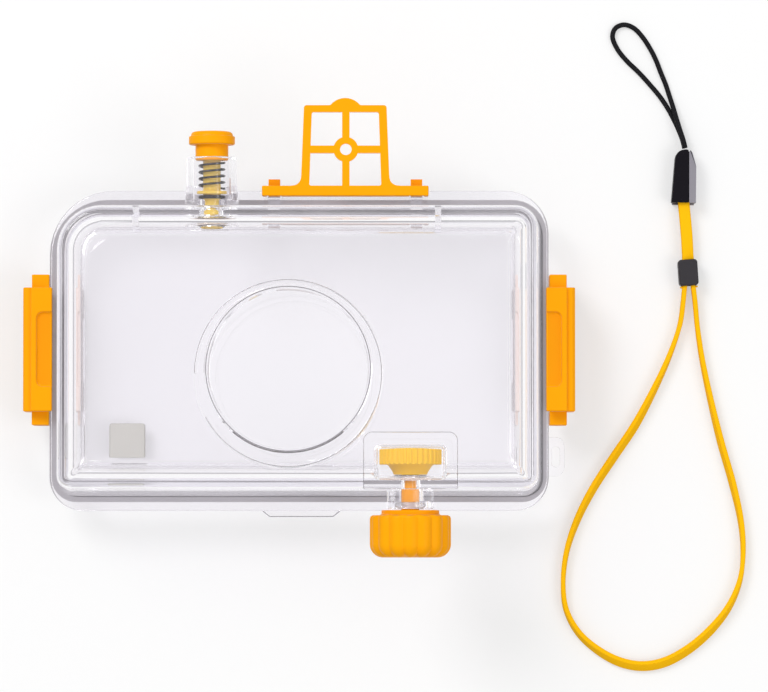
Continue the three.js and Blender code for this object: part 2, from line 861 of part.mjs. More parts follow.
// A block round the hinge pin, with the peg that stands up behind the bar
function finderBlock() {
  const xs = [-lugWidth / 2, lugWidth / 2];
  const centre = new THREE.Vector3();
  const eye = roundBar("x", centre, lugRadius, xs[0], xs[1]);
  const base = block(xs, [-blockDrop, 0], [-blockReach, lugRadius]);
  const peg = block(xs, [-blockDrop, pegHeight], [-blockReach, -blockReach + pegThickness]);
  const below = block(xs, [-finderAxisRise, -blockDrop], [-lugRadius, lugRadius]);
  const hole = roundBar("x", centre, finderPinRadius + runningFit, xs[0] - overrun, xs[1] + overrun);
  return cut(join(eye, base, peg), below, hole);
}

function finderPin() {
  const end = barHalfLength - fit;
  return roundBar("x", new THREE.Vector3(), finderPinRadius, -end, end);
}

// Latch, about its pin, as it sits on the right side

function latch() {
  const flangeLevel = flangeTop - pivotHeight;
  const underHook = flangeLevel + hookGap;
  const top = underHook + hookThickness;
  const outer = earRadius + leverThickness;
  const lever = along(
    [
      new THREE.Vector2(earRadius - fit, 0),
      new THREE.Vector2(outer - leverTaper, 0),
      new THREE.Vector2(outer, 2 * leverTaper),
      new THREE.Vector2(outer, top - leverDrop - leverChamfer),
      new THREE.Vector2(outer - leverChamfer, top - leverDrop),
      new THREE.Vector2(earRadius - fit, top - leverDrop),
    ],
    latchLength,
    0,
  );
  const half = latchLength / 2;
  const frame = block([-earRadius, earRadius], [-half, half], [top - frameHeight, top]);
  const slotXs = [-earRadius - fit - hookReach - overrun, -earRadius + slotWidth];
  const slot = block(slotXs, [-slotLength / 2, slotLength / 2], [top - slotDepth, top + overrun]);
  const below = block([0, earRadius], [-half + fit, half - fit], [-overrun, 0]);
  const ears = [-1, 1].map((end) => latchEar(end * half, end));
  const whole = join(lever, frame, latchHook(underHook, top), ...ears);
  const reach = half + earLength + overrun;
  const bore = roundBar("y", new THREE.Vector3(), latchPinRadius + runningFit, -reach, reach);
  return cut(whole, slot, below, bore);
}

function latchEar(start, end) {
  const ys = [start - end * fit, start + end * earLength].sort((a, b) => a - b);
  const cheek = block([-earRadius, earRadius], ys, [0, earHeight]);
  return join(cheek, roundBar("y", new THREE.Vector3(), earRadius, ys[0], ys[1]));
}

// The hook runs along the whole latch and reaches over the flange
function latchHook(under, top) {
  const tip = -earRadius - fit - hookReach;
  const profile = [
    new THREE.Vector2(-earRadius + fit, under),
    new THREE.Vector2(-earRadius + fit, top),
    new THREE.Vector2(tip + hookRise, top),
    new THREE.Vector2(tip, top - hookRise),
    new THREE.Vector2(tip, under + hookRise),
    new THREE.Vector2(-earRadius - fit, under),
  ];
  return along(profile.reverse(), latchLength, 0);
}

function latchPin() {
  const end = latchLength / 2 + earLength - fit;
  return roundBar("y", new THREE.Vector3(), latchPinRadius, -end, end);
}

// Wrist strap

// Routes of the free stretches, beside the housing
const loopRoute = [
  [101.2, 17.1, 2.5],
  [100.8, 13.0, 2.1],
  [100.0, 7.4, 1.6],
  [97.2, -0.9, 1.55],
  [92.8, -10.5, 1.55],
  [88.0, -19.4, 1.55],
  [82.4, -27.7, 1.55],
  [77.0, -36.0, 1.55],
  [72.8, -44.3, 1.55],
  [70.1, -52.5, 1.55],
  [69.2, -60.7, 1.55],
  [70.0, -67.7, 1.55],
  [73.4, -73.9, 1.55],
  [78.8, -78.6, 1.55],
  [84.3, -81.4, 1.55],
  [89.8, -82.4, 1.55],
  [95.5, -81.5, 1.55],
  [101.8, -78.2, 1.55],
  [107.8, -73.1, 1.55],
  [112.7, -66.9, 1.55],
  [115.6, -60.1, 1.55],
  [116.5, -53.1, 1.55],
  [116.0, -44.9, 1.55],
  [113.8, -34.6, 1.55],
  [110.7, -23.6, 1.55],
  [107.9, -11.9, 1.55],
  [105.8, -1.6, 1.55],
  [104.6, 6.7, 1.6],
  [104.0, 13.0, 2.1],
  [103.5, 17.0, 2.5],
];
const cordRoute = [
  [101.4, 53.9, 3.3],
  [100.9, 56.0, 3.0],
  [100.2, 58.2, 2.7],
  [99.3, 61.2, 2.3],
  [98.4, 64.4, 1.7],
  [97.4, 67.7, 0.8],
  [96.4, 70.8, 0.7],
  [95.1, 74.0, 0.7],
  [93.9, 77.1, 0.7],
  [92.3, 80.3, 0.7],
  [90.2, 83.5, 0.7],
  [87.9, 85.8, 0.7],
  [85.4, 86.6, 0.7],
  [83.2, 85.7, 0.7],
  [82.4, 83.5, 0.7],
  [83.6, 80.3, 0.7],
  [86.1, 77.1, 0.7],
  [89.3, 74.0, 0.7],
  [92.2, 70.8, 0.7],
  [94.8, 67.7, 0.7],
  [97.0, 64.4, 0.7],
  [98.7, 61.2, 0.75],
  [100.0, 58.2, 1.15],
  [100.8, 56.0, 1.5],
  [101.3, 53.9, 1.7],
];

function tubeAlong(route, section, steps) {
  const points = route.map((point) => new THREE.Vector3(...point));
  const extrudePath = new THREE.CatmullRomCurve3(points, false, "centripetal");
  return solid(new THREE.ExtrudeGeometry(section, { steps, bevelEnabled: false, extrudePath }));
}

function cordSection() {
  const corners = Array.from({ length: cordSides }, (_, k) => {
    const angle = (k / cordSides) * 2 * Math.PI;
    return new THREE.Vector2(cordRadius * Math.cos(angle), cordRadius * Math.sin(angle));
  });
  return new THREE.Shape(corners);
}

// The ribbon stands on its edge: its height is the section's x
function ribbonSection() {
  const [x, y, c] = [ribbonHeight / 2, ribbonThickness / 2, ribbonChamfer];
  return new THREE.Shape([
    new THREE.Vector2(-x, -y + c),
    new THREE.Vector2(-x + c, -y),
    new THREE.Vector2(x - c, -y),
    new THREE.Vector2(x, -y + c),
    new THREE.Vector2(x, y - c),
    new THREE.Vector2(x - c, y),
    new THREE.Vector2(-x + c, y),
    new THREE.Vector2(-x, y - c),
  ]);
}

// The slider and the ribbons' shared run stand in a group that points at the clasp's foot
const strapAxis = claspFoot.clone().sub(sliderMiddle);
const strapRun = strapAxis.length();

function strapSlider() {
  const half = sliderLength / 2;
  const body = block([-sliderWidth / 2, sliderWidth / 2], [-half, half], [0, strapHeight]);
  const x = twinWidth / 2 + fit;
  const z = twinThickness / 2 + fit;
  const ys = [-half - overrun, half + overrun];
  return cut(body, block([-x, x], ys, [strapHeight / 2 - z, strapHeight / 2 + z]));
}

function strapTwin() {
  const z = twinThickness / 2;
  const ys = [-sliderLength / 2 + fit, strapRun - fit];
  return block([-twinWidth / 2, twinWidth / 2], ys, [strapHeight / 2 - z, strapHeight / 2 + z]);
}

function claspOutline(left, right, topLeft, topRight) {
  return new THREE.Shape([
    new THREE.Vector2(left, 0),
    new THREE.Vector2(right, 0),
    new THREE.Vector2(topRight, claspLength),
    new THREE.Vector2(topLeft, claspLength),
  ]);
}

function strapClasp() {
  const [foot, top] = [claspFootWidth / 2, claspTopWidth / 2];
  const split = claspInsertWidth + fit;
  return slab(claspOutline(-foot, foot - split, -top, top - split), 0, strapHeight);
}

function claspInsert() {
  const [foot, top] = [claspFootWidth / 2, claspTopWidth / 2];
  const shape = claspOutline(foot - claspInsertWidth, foot, top - claspInsertWidth, top);
  return slab(shape, 0, strapHeight);
}

// The housing and its strap as one tree

function shutterGroup() {
  const group = new THREE.Group();
  group.position.set(shutterX, 0, shutterZ);
  const line = springLine();
  console.log("shutter_spring least gap to itself " + leastGap(line, springWire).toFixed(2) + " mm");
  const washer = ring(washerRadius, stemHole, washerFoot, washerFoot + washerThickness);
  group.add(
    piece("shutter_button", shutterButton(), orangePlastic),
    piece("shutter_stem", shutterStem(), amberPlastic),
    piece("shutter_foot", shutterFoot(), amberPlastic),
    piece("shutter_spring", wireAlong(line, springWire, springSides), springSteel),
    piece("shutter_washer", washer, amberPlastic),
    piece("shutter_o_ring", rubberRing(stemHole, ringSection, seatFloor + fit + ringSection), blackRubber),
  );
  return group;
}

function advanceGroup() {
  const group = new THREE.Group();
  group.position.set(advanceX, 0, advanceZ);
  const sealMiddle = bossEnd + fit + knobSealSection;
  group.add(
    piece("advance_knob", advanceKnob(), orangePlastic),
    piece("advance_shaft", advanceShaft(), orangePlastic),
    piece("drive_wheel", driveWheel(), orangePlastic),
    piece("shaft_clip", ring(clipRadius, shaftHole, clipFoot, clipFoot + clipThickness), springSteel),
    piece("knob_o_ring", rubberRing(shaftHole, knobSealSection, sealMiddle), clearSilicone),
  );
  return group;
}

function finderGroup() {
  const group = new THREE.Group();
  group.position.set(finderX, finderAxis, finderZ);
  group.add(
    piece("finder_frame", finderFrame(), orangePlastic),
    piece("finder_block_left", finderBlock(), orangePlastic, new THREE.Vector3(-lugSpacing, 0, 0)),
    piece("finder_block_right", finderBlock(), orangePlastic, new THREE.Vector3(lugSpacing, 0, 0)),
    piece("finder_pin", finderPin(), springSteel),
  );
  return group;
}

function latchGroup(side, name) {
  const group = new THREE.Group();
  group.position.set(side * pivotX, latchY, pivotHeight);
  group.rotation.z = side > 0 ? 0 : Math.PI;
  group.add(
    piece("latch_" + name, latch(), orangePlastic),
    piece("latch_pin_" + name, latchPin(), springSteel),
  );
  return group;
}

function strapGroup() {
  const group = new THREE.Group();
  group.position.copy(sliderMiddle);
  group.rotation.z = Math.atan2(-strapAxis.x, strapAxis.y);
  group.add(
    piece("strap_slider", strapSlider(), blackPlastic),
    piece("strap_twin", strapTwin(), orangeWebbing),
  );
  return group;
}

function claspGroup() {
  const group = new THREE.Group();
  group.position.copy(claspFoot);
  group.rotation.z = claspLean;
  group.add(
    piece("strap_clasp", strapClasp(), blackPlastic),
    piece("strap_clasp_insert", claspInsert(), greyPlastic),
  );
  return group;
}

function caseGroup() {
  const group = new THREE.Group();
  const padFoot = backPlate + fit;
  const half = padSize / 2;
  const windowFoot = portFront - windowRecess - windowThickness;
  const windowPlace = new THREE.Vector3(portX, portY + portBoreShift, windowFoot);
  group.add(
    piece("rear_cover", rearCover(), clearPlastic),
    piece("main_seal", mainSeal(), greyRubber),
    piece(
      "camera_pad",
      block([-half, half], [-half, half], [0, padThickness]),
      padFoam,
      new THREE.Vector3(padFromSide - caseSide, padFromBottom - caseTop, padFoot),
    ),
    piece("front_shell", frontShell(), clearPlastic),
    piece("port_window", portWindow(), clearPlastic, windowPlace),
  );
  return group;
}

const housing = new THREE.Group();
housing.add(
  caseGroup(),
  shutterGroup(),
  advanceGroup(),
  finderGroup(),
  latchGroup(-1, "left"),
  latchGroup(1, "right"),
  strapGroup(),
  claspGroup(),
  piece("strap_loop", tubeAlong(loopRoute, ribbonSection(), loopSteps), orangeWebbing),
  piece("strap_cord", tubeAlong(cordRoute, cordSection(), cordSteps), blackRubber),
);

export default housing;
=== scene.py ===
# %% [markdown]
# A clear camera housing and its wrist strap
# The object is a two-part diving case for a compact film camera. It lies on its back beside its strap.
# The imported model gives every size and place. Blender gives the surfaces and the finer shapes.

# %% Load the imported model
from math import atan2, cos, degrees, hypot, pi, radians, sin, sqrt, tan

import bmesh
import bpy
from mathutils import Matrix, Vector


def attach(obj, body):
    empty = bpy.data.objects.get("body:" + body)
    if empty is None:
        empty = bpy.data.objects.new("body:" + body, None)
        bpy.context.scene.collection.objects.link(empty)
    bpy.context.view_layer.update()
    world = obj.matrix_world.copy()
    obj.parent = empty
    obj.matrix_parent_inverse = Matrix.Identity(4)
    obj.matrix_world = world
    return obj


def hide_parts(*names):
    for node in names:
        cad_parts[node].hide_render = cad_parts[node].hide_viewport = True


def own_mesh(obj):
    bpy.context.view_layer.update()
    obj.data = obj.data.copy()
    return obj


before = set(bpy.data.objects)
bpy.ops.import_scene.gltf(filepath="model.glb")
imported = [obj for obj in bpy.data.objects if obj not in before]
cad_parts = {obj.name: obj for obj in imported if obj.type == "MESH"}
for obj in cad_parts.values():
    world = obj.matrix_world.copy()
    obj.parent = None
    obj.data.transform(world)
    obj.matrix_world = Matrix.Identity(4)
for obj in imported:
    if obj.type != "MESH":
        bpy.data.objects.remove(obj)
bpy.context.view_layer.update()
mm = 0.001
print("CAD nodes:", len(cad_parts))

# %% [markdown]
# Bench tools
# Blender's operators act on what is selected, so each tool first selects its own piece and nothing else.
# Corners and edges are then picked in code, by their place. These tools take their sizes in millimetres.

# %% Selecting and editing


def take(obj):
    bpy.ops.object.select_all(action="DESELECT")
    obj.select_set(True)
    bpy.context.view_layer.objects.active = obj


def named(name):
    made = bpy.context.object
    made.name = name
    return made


def link(obj):
    bpy.context.scene.collection.objects.link(obj)
    return obj


def select(action="SELECT"):
    bpy.ops.mesh.select_all(action=action)


def edit(obj, kind="FACE"):
    take(obj)
    bpy.ops.object.mode_set(mode="EDIT")
    bpy.ops.mesh.select_mode(type=kind)
    select("DESELECT")


def leave():
    bpy.ops.object.mode_set(mode="OBJECT")


def leave_facing_out():
    select()
    bpy.ops.mesh.normals_make_consistent(inside=False)
    leave()


def pick(kind, test):
    mesh = bpy.context.object.data
    edited = bmesh.from_edit_mesh(mesh)
    found = {"VERT": edited.verts, "EDGE": edited.edges}[kind]
    for element in found:
        if test(element):
            element.select_set(True)
    edited.select_flush_mode()
    bmesh.update_edit_mesh(mesh)


def push_up(rise):
    bpy.ops.mesh.extrude_region_move(TRANSFORM_OT_translate={"value": (0, 0, rise * mm)})


def settle(obj):
    take(obj)
    bpy.ops.object.transform_apply(location=True, rotation=True, scale=True)


# %% Modifiers that are applied at once


def apply_modifier(obj, kind, **settings):
    take(obj)
    modifier = obj.modifiers.new(kind.title(), kind)
    for key, value in settings.items():
        setattr(modifier, key, value)
    bpy.ops.object.modifier_apply(modifier=modifier.name)


def combine(obj, others, operation):
    for other in others:
        apply_modifier(obj, "BOOLEAN", object=other, operation=operation, solver="MANIFOLD")
        bpy.data.objects.remove(other)
    return obj


def join(obj, *others):
    return combine(obj, others, "UNION")


def cut(obj, *others):
    return combine(obj, others, "DIFFERENCE")


def round_edges(obj, width, segments=3, bend=40):
    limit = {"limit_method": "ANGLE", "angle_limit": radians(bend)}
    apply_modifier(obj, "BEVEL", width=width * mm, segments=segments, **limit)


# Faces that meet at less than this angle are shaded as one surface
smooth_angle = radians(32)


def tidy_normals(obj):
    edit(obj)
    select()
    bpy.ops.mesh.remove_doubles(threshold=0.002 * mm)
    leave_facing_out()
    take(obj)
    bpy.ops.object.shade_smooth_by_angle(angle=smooth_angle)
    apply_modifier(obj, "WEIGHTED_NORMAL", mode="FACE_AREA_WITH_ANGLE", keep_sharp=True)


# %% Starting shapes


def box(name, low, high):
    centre = [(a + b) / 2 * mm for a, b in zip(low, high)]
    size = [(b - a) * mm for a, b in zip(low, high)]
    bpy.ops.mesh.primitive_cube_add(size=1, location=centre, scale=size)
    made = named(name)
    settle(made)
    return made


# Each turns a piece that was made upright: its height then runs along the named axis
TURNS = {"x": (pi / 2, "Y"), "y": (-pi / 2, "X"), "-y": (pi / 2, "X"), "z": (0, "Z")}


def place(obj, centre, axis="z"):
    angle, about = TURNS[axis]
    obj.data.transform(Matrix.Translation([c * mm for c in centre]) @ Matrix.Rotation(angle, 4, about))
    return obj


# A profile of (radius, height) pairs, turned about an axis through a centre. A closed profile makes a ring.
def turned(name, profile, centre=(0, 0, 0), axis="z", sides=64, closed=False):
    least = 0.001
    radius, height = profile[0]
    start = max(radius, least)
    fill = "NOTHING" if closed else "NGON"
    bpy.ops.mesh.primitive_circle_add(vertices=sides, radius=start * mm, fill_type=fill)
    made = named(name)
    edit(made, "EDGE")
    select()
    bpy.ops.transform.translate(value=(0, 0, height * mm))
    select("DESELECT")
    pick("EDGE", lambda edge: len(edge.link_faces) < 2)
    stops = list(profile[1:]) + ([profile[0]] if closed else [])
    for next_radius, next_height in stops:
        reach = max(next_radius, least)
        push_up(next_height - height)
        share = reach / start
        bpy.ops.transform.resize(value=(share, share, 1), center_override=(0, 0, next_height * mm))
        start, height = reach, next_height
    if not closed:
        bpy.ops.mesh.edge_face_add()
    select()
    bpy.ops.mesh.remove_doubles(threshold=0.004 * mm)
    leave_facing_out()
    return place(made, centre, axis)


# The heights already say where a bar lies along its axis, so its centre is taken at nought there
def bar(name, axis, centre, radius, low, high, sides=48, chamfer=0):
    profile = [(radius, low), (radius, high)]
    if chamfer:
        profile = [(radius - chamfer, low), (radius, low + chamfer)]
        profile += [(radius, high - chamfer), (radius - chamfer, high)]
    start = [0 if letter == axis else value for letter, value in zip("xyz", centre)]
    return turned(name, profile, start, axis, sides)


# A flat outline with its own round at each corner; radii run top left, top right, bottom right, bottom left
def rounded_face(name, middle, width, height, radii, level):
    x, y, z = middle[0] * mm, middle[1] * mm, level * mm
    bpy.ops.mesh.primitive_plane_add(size=1, location=(x, y, z))
    made = named(name)
    made.scale = (width * mm, height * mm, 1)
    settle(made)
    for (side, end), radius in zip(((-1, 1), (1, 1), (1, -1), (-1, -1)), radii):
        corner = Vector((x + side * width / 2 * mm, y + end * height / 2 * mm, z))
        edit(made, "VERT")
        pick("VERT", lambda vertex: (vertex.co - corner).length < 0.001 * mm)
        bpy.ops.mesh.bevel(offset=radius * mm, segments=10, profile=0.5, affect="VERTICES")
        leave()
    return made


def thicken(obj, rise):
    edit(obj)
    select()
    push_up(rise)
    leave_facing_out()
    return obj


# A rounded outline pushed from one level to another
def plate(name, middle, width, height, radii, low, high):
    return thicken(rounded_face(name, middle, width, height, radii, low), high - low)


# Rounds each corner of a flat path that names a radius: (x, y) stays sharp, (x, y, radius) is rounded
def soften(points, steps=5):
    made = []
    for i, point in enumerate(points):
        here = Vector(point[:2])
        if len(point) < 3:
            made.append(tuple(here))
            continue
        before = (Vector(points[i - 1][:2]) - here).normalized()
        after = (Vector(points[(i + 1) % len(points)][:2]) - here).normalized()
        half = before.angle(after) / 2
        centre = here + (before + after).normalized() * point[2] / sin(half)
        first = here + before * point[2] / tan(half) - centre
        last = here + after * point[2] / tan(half) - centre
        whole = atan2(first.x * last.y - first.y * last.x, first.dot(last))
        for k in range(steps + 1):
            made.append(tuple(centre + Matrix.Rotation(whole * k / steps, 2) @ first))
    return made


def rounded_rectangle(width, height, radius, steps):
    corners = ((1, 1), (-1, 1), (-1, -1), (1, -1))
    return soften([(x * width / 2, y * height / 2, radius) for x, y in corners], steps)


# A flat outline pushed into a solid: a circle's corners are moved to the outline, then extruded
def outlined(name, points, low, high, centre=(0, 0, 0), axis="z"):
    bpy.ops.mesh.primitive_circle_add(vertices=len(points), radius=mm, fill_type="NGON")
    made = named(name)
    for vertex, (x, y) in zip(made.data.vertices, points):
        vertex.co = (x * mm, y * mm, low * mm)
    return place(thicken(made, high - low), centre, axis)


def copied(name, obj):
    other = obj.copy()
    other.data = obj.data.copy()
    other.name = name
    return link(other)


def circle_points(radius, sides):
    turns = [2 * pi * k / sides for k in range(sides)]
    return [(radius * cos(a), radius * sin(a)) for a in turns]


# A ring of round section about an axis
def rubber_ring(name, inner, section, centre, axis):
    profile = [(inner + section + x, y) for x, y in circle_points(section, 20)]
    return turned(name, profile, centre, axis, closed=True)


print("bench tools ready")

# %% [markdown]
# Camera
# The photo looks straight down on the lying object from far away, and slightly from below its foot.
# One photo pixel is 0.261 mm at the middle of the housing's depth.

# %% Camera
picture_width = 768
pixel = 0.261 * mm
target = Vector((22.1, 1.3, 14.5)) * mm
distance = 1500 * mm
tilt = radians(2)
sensor = 36
camera_data = bpy.data.cameras.new("camera")
camera_data.sensor_width = sensor
camera_data.lens = sensor * distance / (picture_width * pixel)
camera_data.clip_end = 20
camera = link(bpy.data.objects.new("camera", camera_data))
sight = Vector((0, -sin(tilt), cos(tilt)))
camera.location = target + distance * sight
camera.rotation_euler = (tilt, 0, 0)
bpy.context.scene.camera = camera
print("lens in mm:", round(camera_data.lens, 1))

# %% [markdown]
# Floor and light
# A clear thing shows by what it bends and mirrors. A white floor and a world that greys towards the horizon
# draw its edges, as grey boards beside a table do in a studio.
# The floor gives off a little light to the eye only, so it renders white and still keeps the shadow.

# %% Tools for nodes


# A value, a colour of three numbers or another node's output goes into a socket
def feed(tree, value, socket):
    if isinstance(value, bpy.types.NodeSocket):
        tree.links.new(value, socket)
    elif socket.type == "RGBA":
        socket.default_value = (*value, 1)
    else:
        socket.default_value = value


# The settings are the node's own, and they come first because some of them decide which sockets it has
def node(tree, kind, given=(), **settings):
    made = tree.nodes.new("ShaderNode" + kind)
    for key, value in settings.items():
        setattr(made, key, value)
    for key, value in dict(given).items():
        feed(tree, value, made.inputs[key])
    return made


def maths(tree, operation, first, second):
    return node(tree, "Math", {0: first, 1: second}, operation=operation).outputs[0]


def mixed(tree, share, first, second):
    mix = node(tree, "Mix", {"Factor": share, "A": first, "B": second}, data_type="RGBA")
    return mix.outputs["Result"]


def mixed_shader(tree, share, first, second):
    return node(tree, "MixShader", {0: share, 1: first.outputs[0], 2: second.outputs[0]})


def ray_share(tree, *kinds):
    path = node(tree, "LightPath")
    total = path.outputs[kinds[0]]
    for kind in kinds[1:]:
        total = maths(tree, "MAXIMUM", total, path.outputs[kind])
    return total


print("node tools ready")

# %% Floor
floor_grey = (0.5, 0.5, 0.5)
floor_glow = 0.45


def floor_paint():
    material = bpy.data.materials.new("floor_paint")
    material.use_nodes = True
    tree = material.node_tree
    tree.nodes.clear()
    matt = node(tree, "BsdfDiffuse", {"Color": floor_grey})
    seen = ray_share(tree, "Is Camera Ray", "Is Glossy Ray", "Is Transmission Ray")
    glow = node(tree, "Emission", {"Strength": maths(tree, "MULTIPLY", seen, floor_glow)})
    both = node(tree, "AddShader", {0: matt.outputs[0], 1: glow.outputs[0]})
    node(tree, "OutputMaterial", {"Surface": both.outputs[0]})
    return material


bpy.ops.mesh.primitive_plane_add(size=12, location=(target.x, target.y, -0.02 * mm))
floor = named("floor")
settle(floor)
floor.data.materials.append(floor_paint())
print("floor laid")

# %% World
world = bpy.data.worlds.new("studio")
bpy.context.scene.world = world
world.use_nodes = True
sky = world.node_tree
sky.nodes.clear()
direction = node(sky, "TexCoord")
height = node(sky, "SeparateXYZ", {0: direction.outputs["Generated"]})
gradient = node(sky, "ValToRGB", {"Fac": height.outputs["Z"]})
stops = gradient.color_ramp.elements
stops[0].color = (0.3, 0.295, 0.31, 1)
stops[1].position = 0.75
stops[1].color = (0.97, 0.96, 1, 1)
stops.new(0.16).color = (0.74, 0.73, 0.76, 1)
mirrored = node(sky, "Background", {"Color": gradient.outputs["Color"]})
ambient = node(sky, "Background", {"Color": (1, 1, 1), "Strength": 0.62})
backdrop = node(sky, "Background")
by_gloss = mixed_shader(sky, ray_share(sky, "Is Glossy Ray", "Is Transmission Ray"), ambient, mirrored)
by_camera = mixed_shader(sky, ray_share(sky, "Is Camera Ray"), by_gloss, backdrop)
node(sky, "OutputWorld", {"Surface": by_camera.outputs[0]})
print("world set")

# %% Lamps, in metres and watts


def lamp(name, spot, size, power):
    data = bpy.data.lights.new(name, "AREA")
    data.shape = "SQUARE"
    data.size = size
    data.energy = power
    obj = link(bpy.data.objects.new(name, data))
    obj.location = spot
    obj.rotation_euler = (target - Vector(spot)).to_track_quat("-Z", "Y").to_euler()


lamp("key", (-0.75, 0.85, 1.25), 0.7, 13)
lamp("fill", (1, -0.35, 1.3), 0.8, 6)
bpy.context.scene.view_settings.view_transform = "Standard"
print("lamps hung")

# %% [markdown]
# Finishes
# Two groups of nodes serve every material. One gives the slow shade and the fine grain of moulded plastic,
# the other gives threads that run along and across a ribbon or a cord.
# A group puts out only colours and values, and each shader stays in its own material.

# %% A group for moulded and rubber surfaces


def group_of(name, inputs, outputs):
    tree = bpy.data.node_groups.new(name, "ShaderNodeTree")
    for direction, sockets in (("INPUT", inputs), ("OUTPUT", outputs)):
        for label, kind in sockets.items():
            tree.interface.new_socket(name=label, in_out=direction, socket_type="NodeSocket" + kind)
    return tree, tree.nodes.new("NodeGroupInput").outputs, tree.nodes.new("NodeGroupOutput").inputs


def moulded_group():
    inputs = {"Colour": "Color", "Shade": "Color", "Roughness": "Float"}
    outputs = {"Colour": "Color", "Roughness": "Float", "Height": "Float"}
    tree, given, put = group_of("moulded_surface", inputs, outputs)
    where = node(tree, "TexCoord").outputs["Object"]
    slow = node(tree, "TexNoise", {"Vector": where, "Scale": 55, "Detail": 3}).outputs["Fac"]
    fine = node(tree, "TexNoise", {"Vector": where, "Scale": 2400, "Detail": 2}).outputs["Fac"]
    colour = mixed(tree, slow, given["Colour"], given["Shade"])
    spread = node(tree, "MapRange", {"Value": fine, "To Min": 0.8, "To Max": 1.25}).outputs["Result"]
    feed(tree, colour, put["Colour"])
    feed(tree, maths(tree, "MULTIPLY", spread, given["Roughness"]), put["Roughness"])
    feed(tree, fine, put["Height"])
    return tree


moulded_surface = moulded_group()
print("group:", moulded_surface.name)

# %% A group for threads, read along and around a ribbon or a cord


def wave_along(tree, vector, turn, scale):
    leaning = node(tree, "Mapping", {"Vector": vector, "Rotation": (0, 0, turn)}).outputs["Vector"]
    return node(tree, "TexWave", {"Vector": leaning, "Scale": scale, "Distortion": 0.3}).outputs["Fac"]


def thread_group(name, lean, scale):
    inputs = {"Colour": "Color", "Shade": "Color"}
    tree, given, put = group_of(name, inputs, {"Colour": "Color", "Height": "Float"})
    where = node(tree, "UVMap", uv_map="along").outputs["UV"]
    waves = [wave_along(tree, where, radians(turn), scale) for turn in (lean, -lean)]
    both = maths(tree, "MULTIPLY", *waves)
    feed(tree, mixed(tree, both, given["Shade"], given["Colour"]), put["Colour"])
    feed(tree, both, put["Height"])
    return tree


woven_threads = thread_group("woven_threads", 45, 700)
braided_threads = thread_group("braided_threads", 32, 520)
print("groups:", woven_threads.name, braided_threads.name)


def painted(name, group, colour, shade, roughness, gloss=0.5, slot=None, bump=0.05, depth=0.02, **rest):
    material = bpy.data.materials.new(name)
    material.use_nodes = True
    tree = material.node_tree
    finish = node(tree, "Group", {"Colour": colour, "Shade": shade}, node_tree=group)
    if "Roughness" in finish.inputs:
        feed(tree, roughness, finish.inputs["Roughness"])
        roughness = finish.outputs["Roughness"]
    heights = finish.outputs["Height"]
    relief = node(tree, "Bump", {"Strength": bump, "Distance": depth * mm, "Height": heights})
    rest.update({"Base Color": finish.outputs["Colour"], "Roughness": roughness})
    rest.update({"Specular IOR Level": gloss, "Normal": relief.outputs["Normal"]})
    for key, value in rest.items():
        feed(tree, value, tree.nodes["Principled BSDF"].inputs[key.replace("_", " ")])
    return material


def moulded(name, *look, **rest):
    return painted(name, moulded_surface, *look, **rest)


orange_plastic = moulded("orange_plastic", (1, 0.42, 0.002), (1, 0.37, 0.002), 0.36, 0.06)
# A darker orange that paints shade, on the latches' slot floors and on the finder's hinge blocks
shaded_orange = moulded("shaded_orange", (0.95, 0.36, 0.004), (0.92, 0.32, 0.004), 0.4, 0.06, "orange_plastic")
wheel_plastic = moulded("wheel_plastic", (1, 0.63, 0.03), (1, 0.57, 0.02), 0.36, 0.1, "orange_plastic")
amber_plastic = moulded(
    "amber_plastic", (1, 0.74, 0.12), (1, 0.66, 0.08), 0.16, IOR=1.49, Transmission_Weight=0.15
)
milky_silicone = moulded(
    "milky_silicone", (0.96, 0.95, 0.96), (0.92, 0.91, 0.93), 0.15, 0.2, "clear_silicone",
    Transmission_Weight=0.95
)
black_rubber = moulded("black_rubber", (0.012, 0.011, 0.013), (0.03, 0.028, 0.03), 0.5, 0.15, bump=0.2)
seal_rubber = moulded(
    "seal_rubber", (0.44, 0.42, 0.44), (0.37, 0.36, 0.37), 0.6, 0.15, "grey_rubber", bump=0.2
)
# A dark rubber that paints shade: the dark line along the seal's lip
shade_line_rubber = moulded("shade_line_rubber", (0.11, 0.105, 0.11), (0.15, 0.145, 0.15), 0.55, 0.15, bump=0.2)
spring_steel = moulded("spring_steel", (0.42, 0.41, 0.39), (0.3, 0.29, 0.28), 0.24, Metallic=1)
spring_wire_steel = moulded(
    "spring_wire_steel", (0.08, 0.077, 0.075), (0.035, 0.034, 0.032), 0.22, slot="spring_steel", Metallic=1
)
black_plastic = moulded("black_plastic", (0.006, 0.005, 0.008), (0.01, 0.009, 0.012), 0.38, 0.05)
# A grey that paints the lit, mirroring side of the black clasp, as a painted highlight
grey_plastic = moulded("grey_plastic", (0.25, 0.24, 0.275), (0.29, 0.28, 0.31), 0.42, 0.1)
slider_plastic = moulded(
    "slider_plastic", (0.03, 0.028, 0.032), (0.04, 0.037, 0.042), 0.45, 0.15, "black_plastic"
)
pad_foam = moulded("pad_foam", (0.66, 0.65, 0.60), (0.58, 0.57, 0.53), 0.85, bump=0.5, depth=0.08)
orange_ribbon = painted(
    "orange_ribbon", woven_threads, (1, 0.58, 0.006), (1, 0.51, 0.003), 0.6, 0.05, "orange_webbing",
    bump=0.2, depth=0.05
)
black_braid = painted(
    "black_braid", braided_threads, (0.016, 0.015, 0.018), (0.004, 0.004, 0.005), 0.7, 0.15, "black_cord",
    bump=0.9, depth=0.12
)

# %% Orange that is seen by way of the clear walls
# Light that has crossed two walls, or was mirrored in one, carries little of an orange piece's colour.
two_walls = 3.5
no_mirroring = 0.5


def past_value(tree, output, limit):
    return maths(tree, "GREATER_THAN", node(tree, "LightPath").outputs[output], limit)


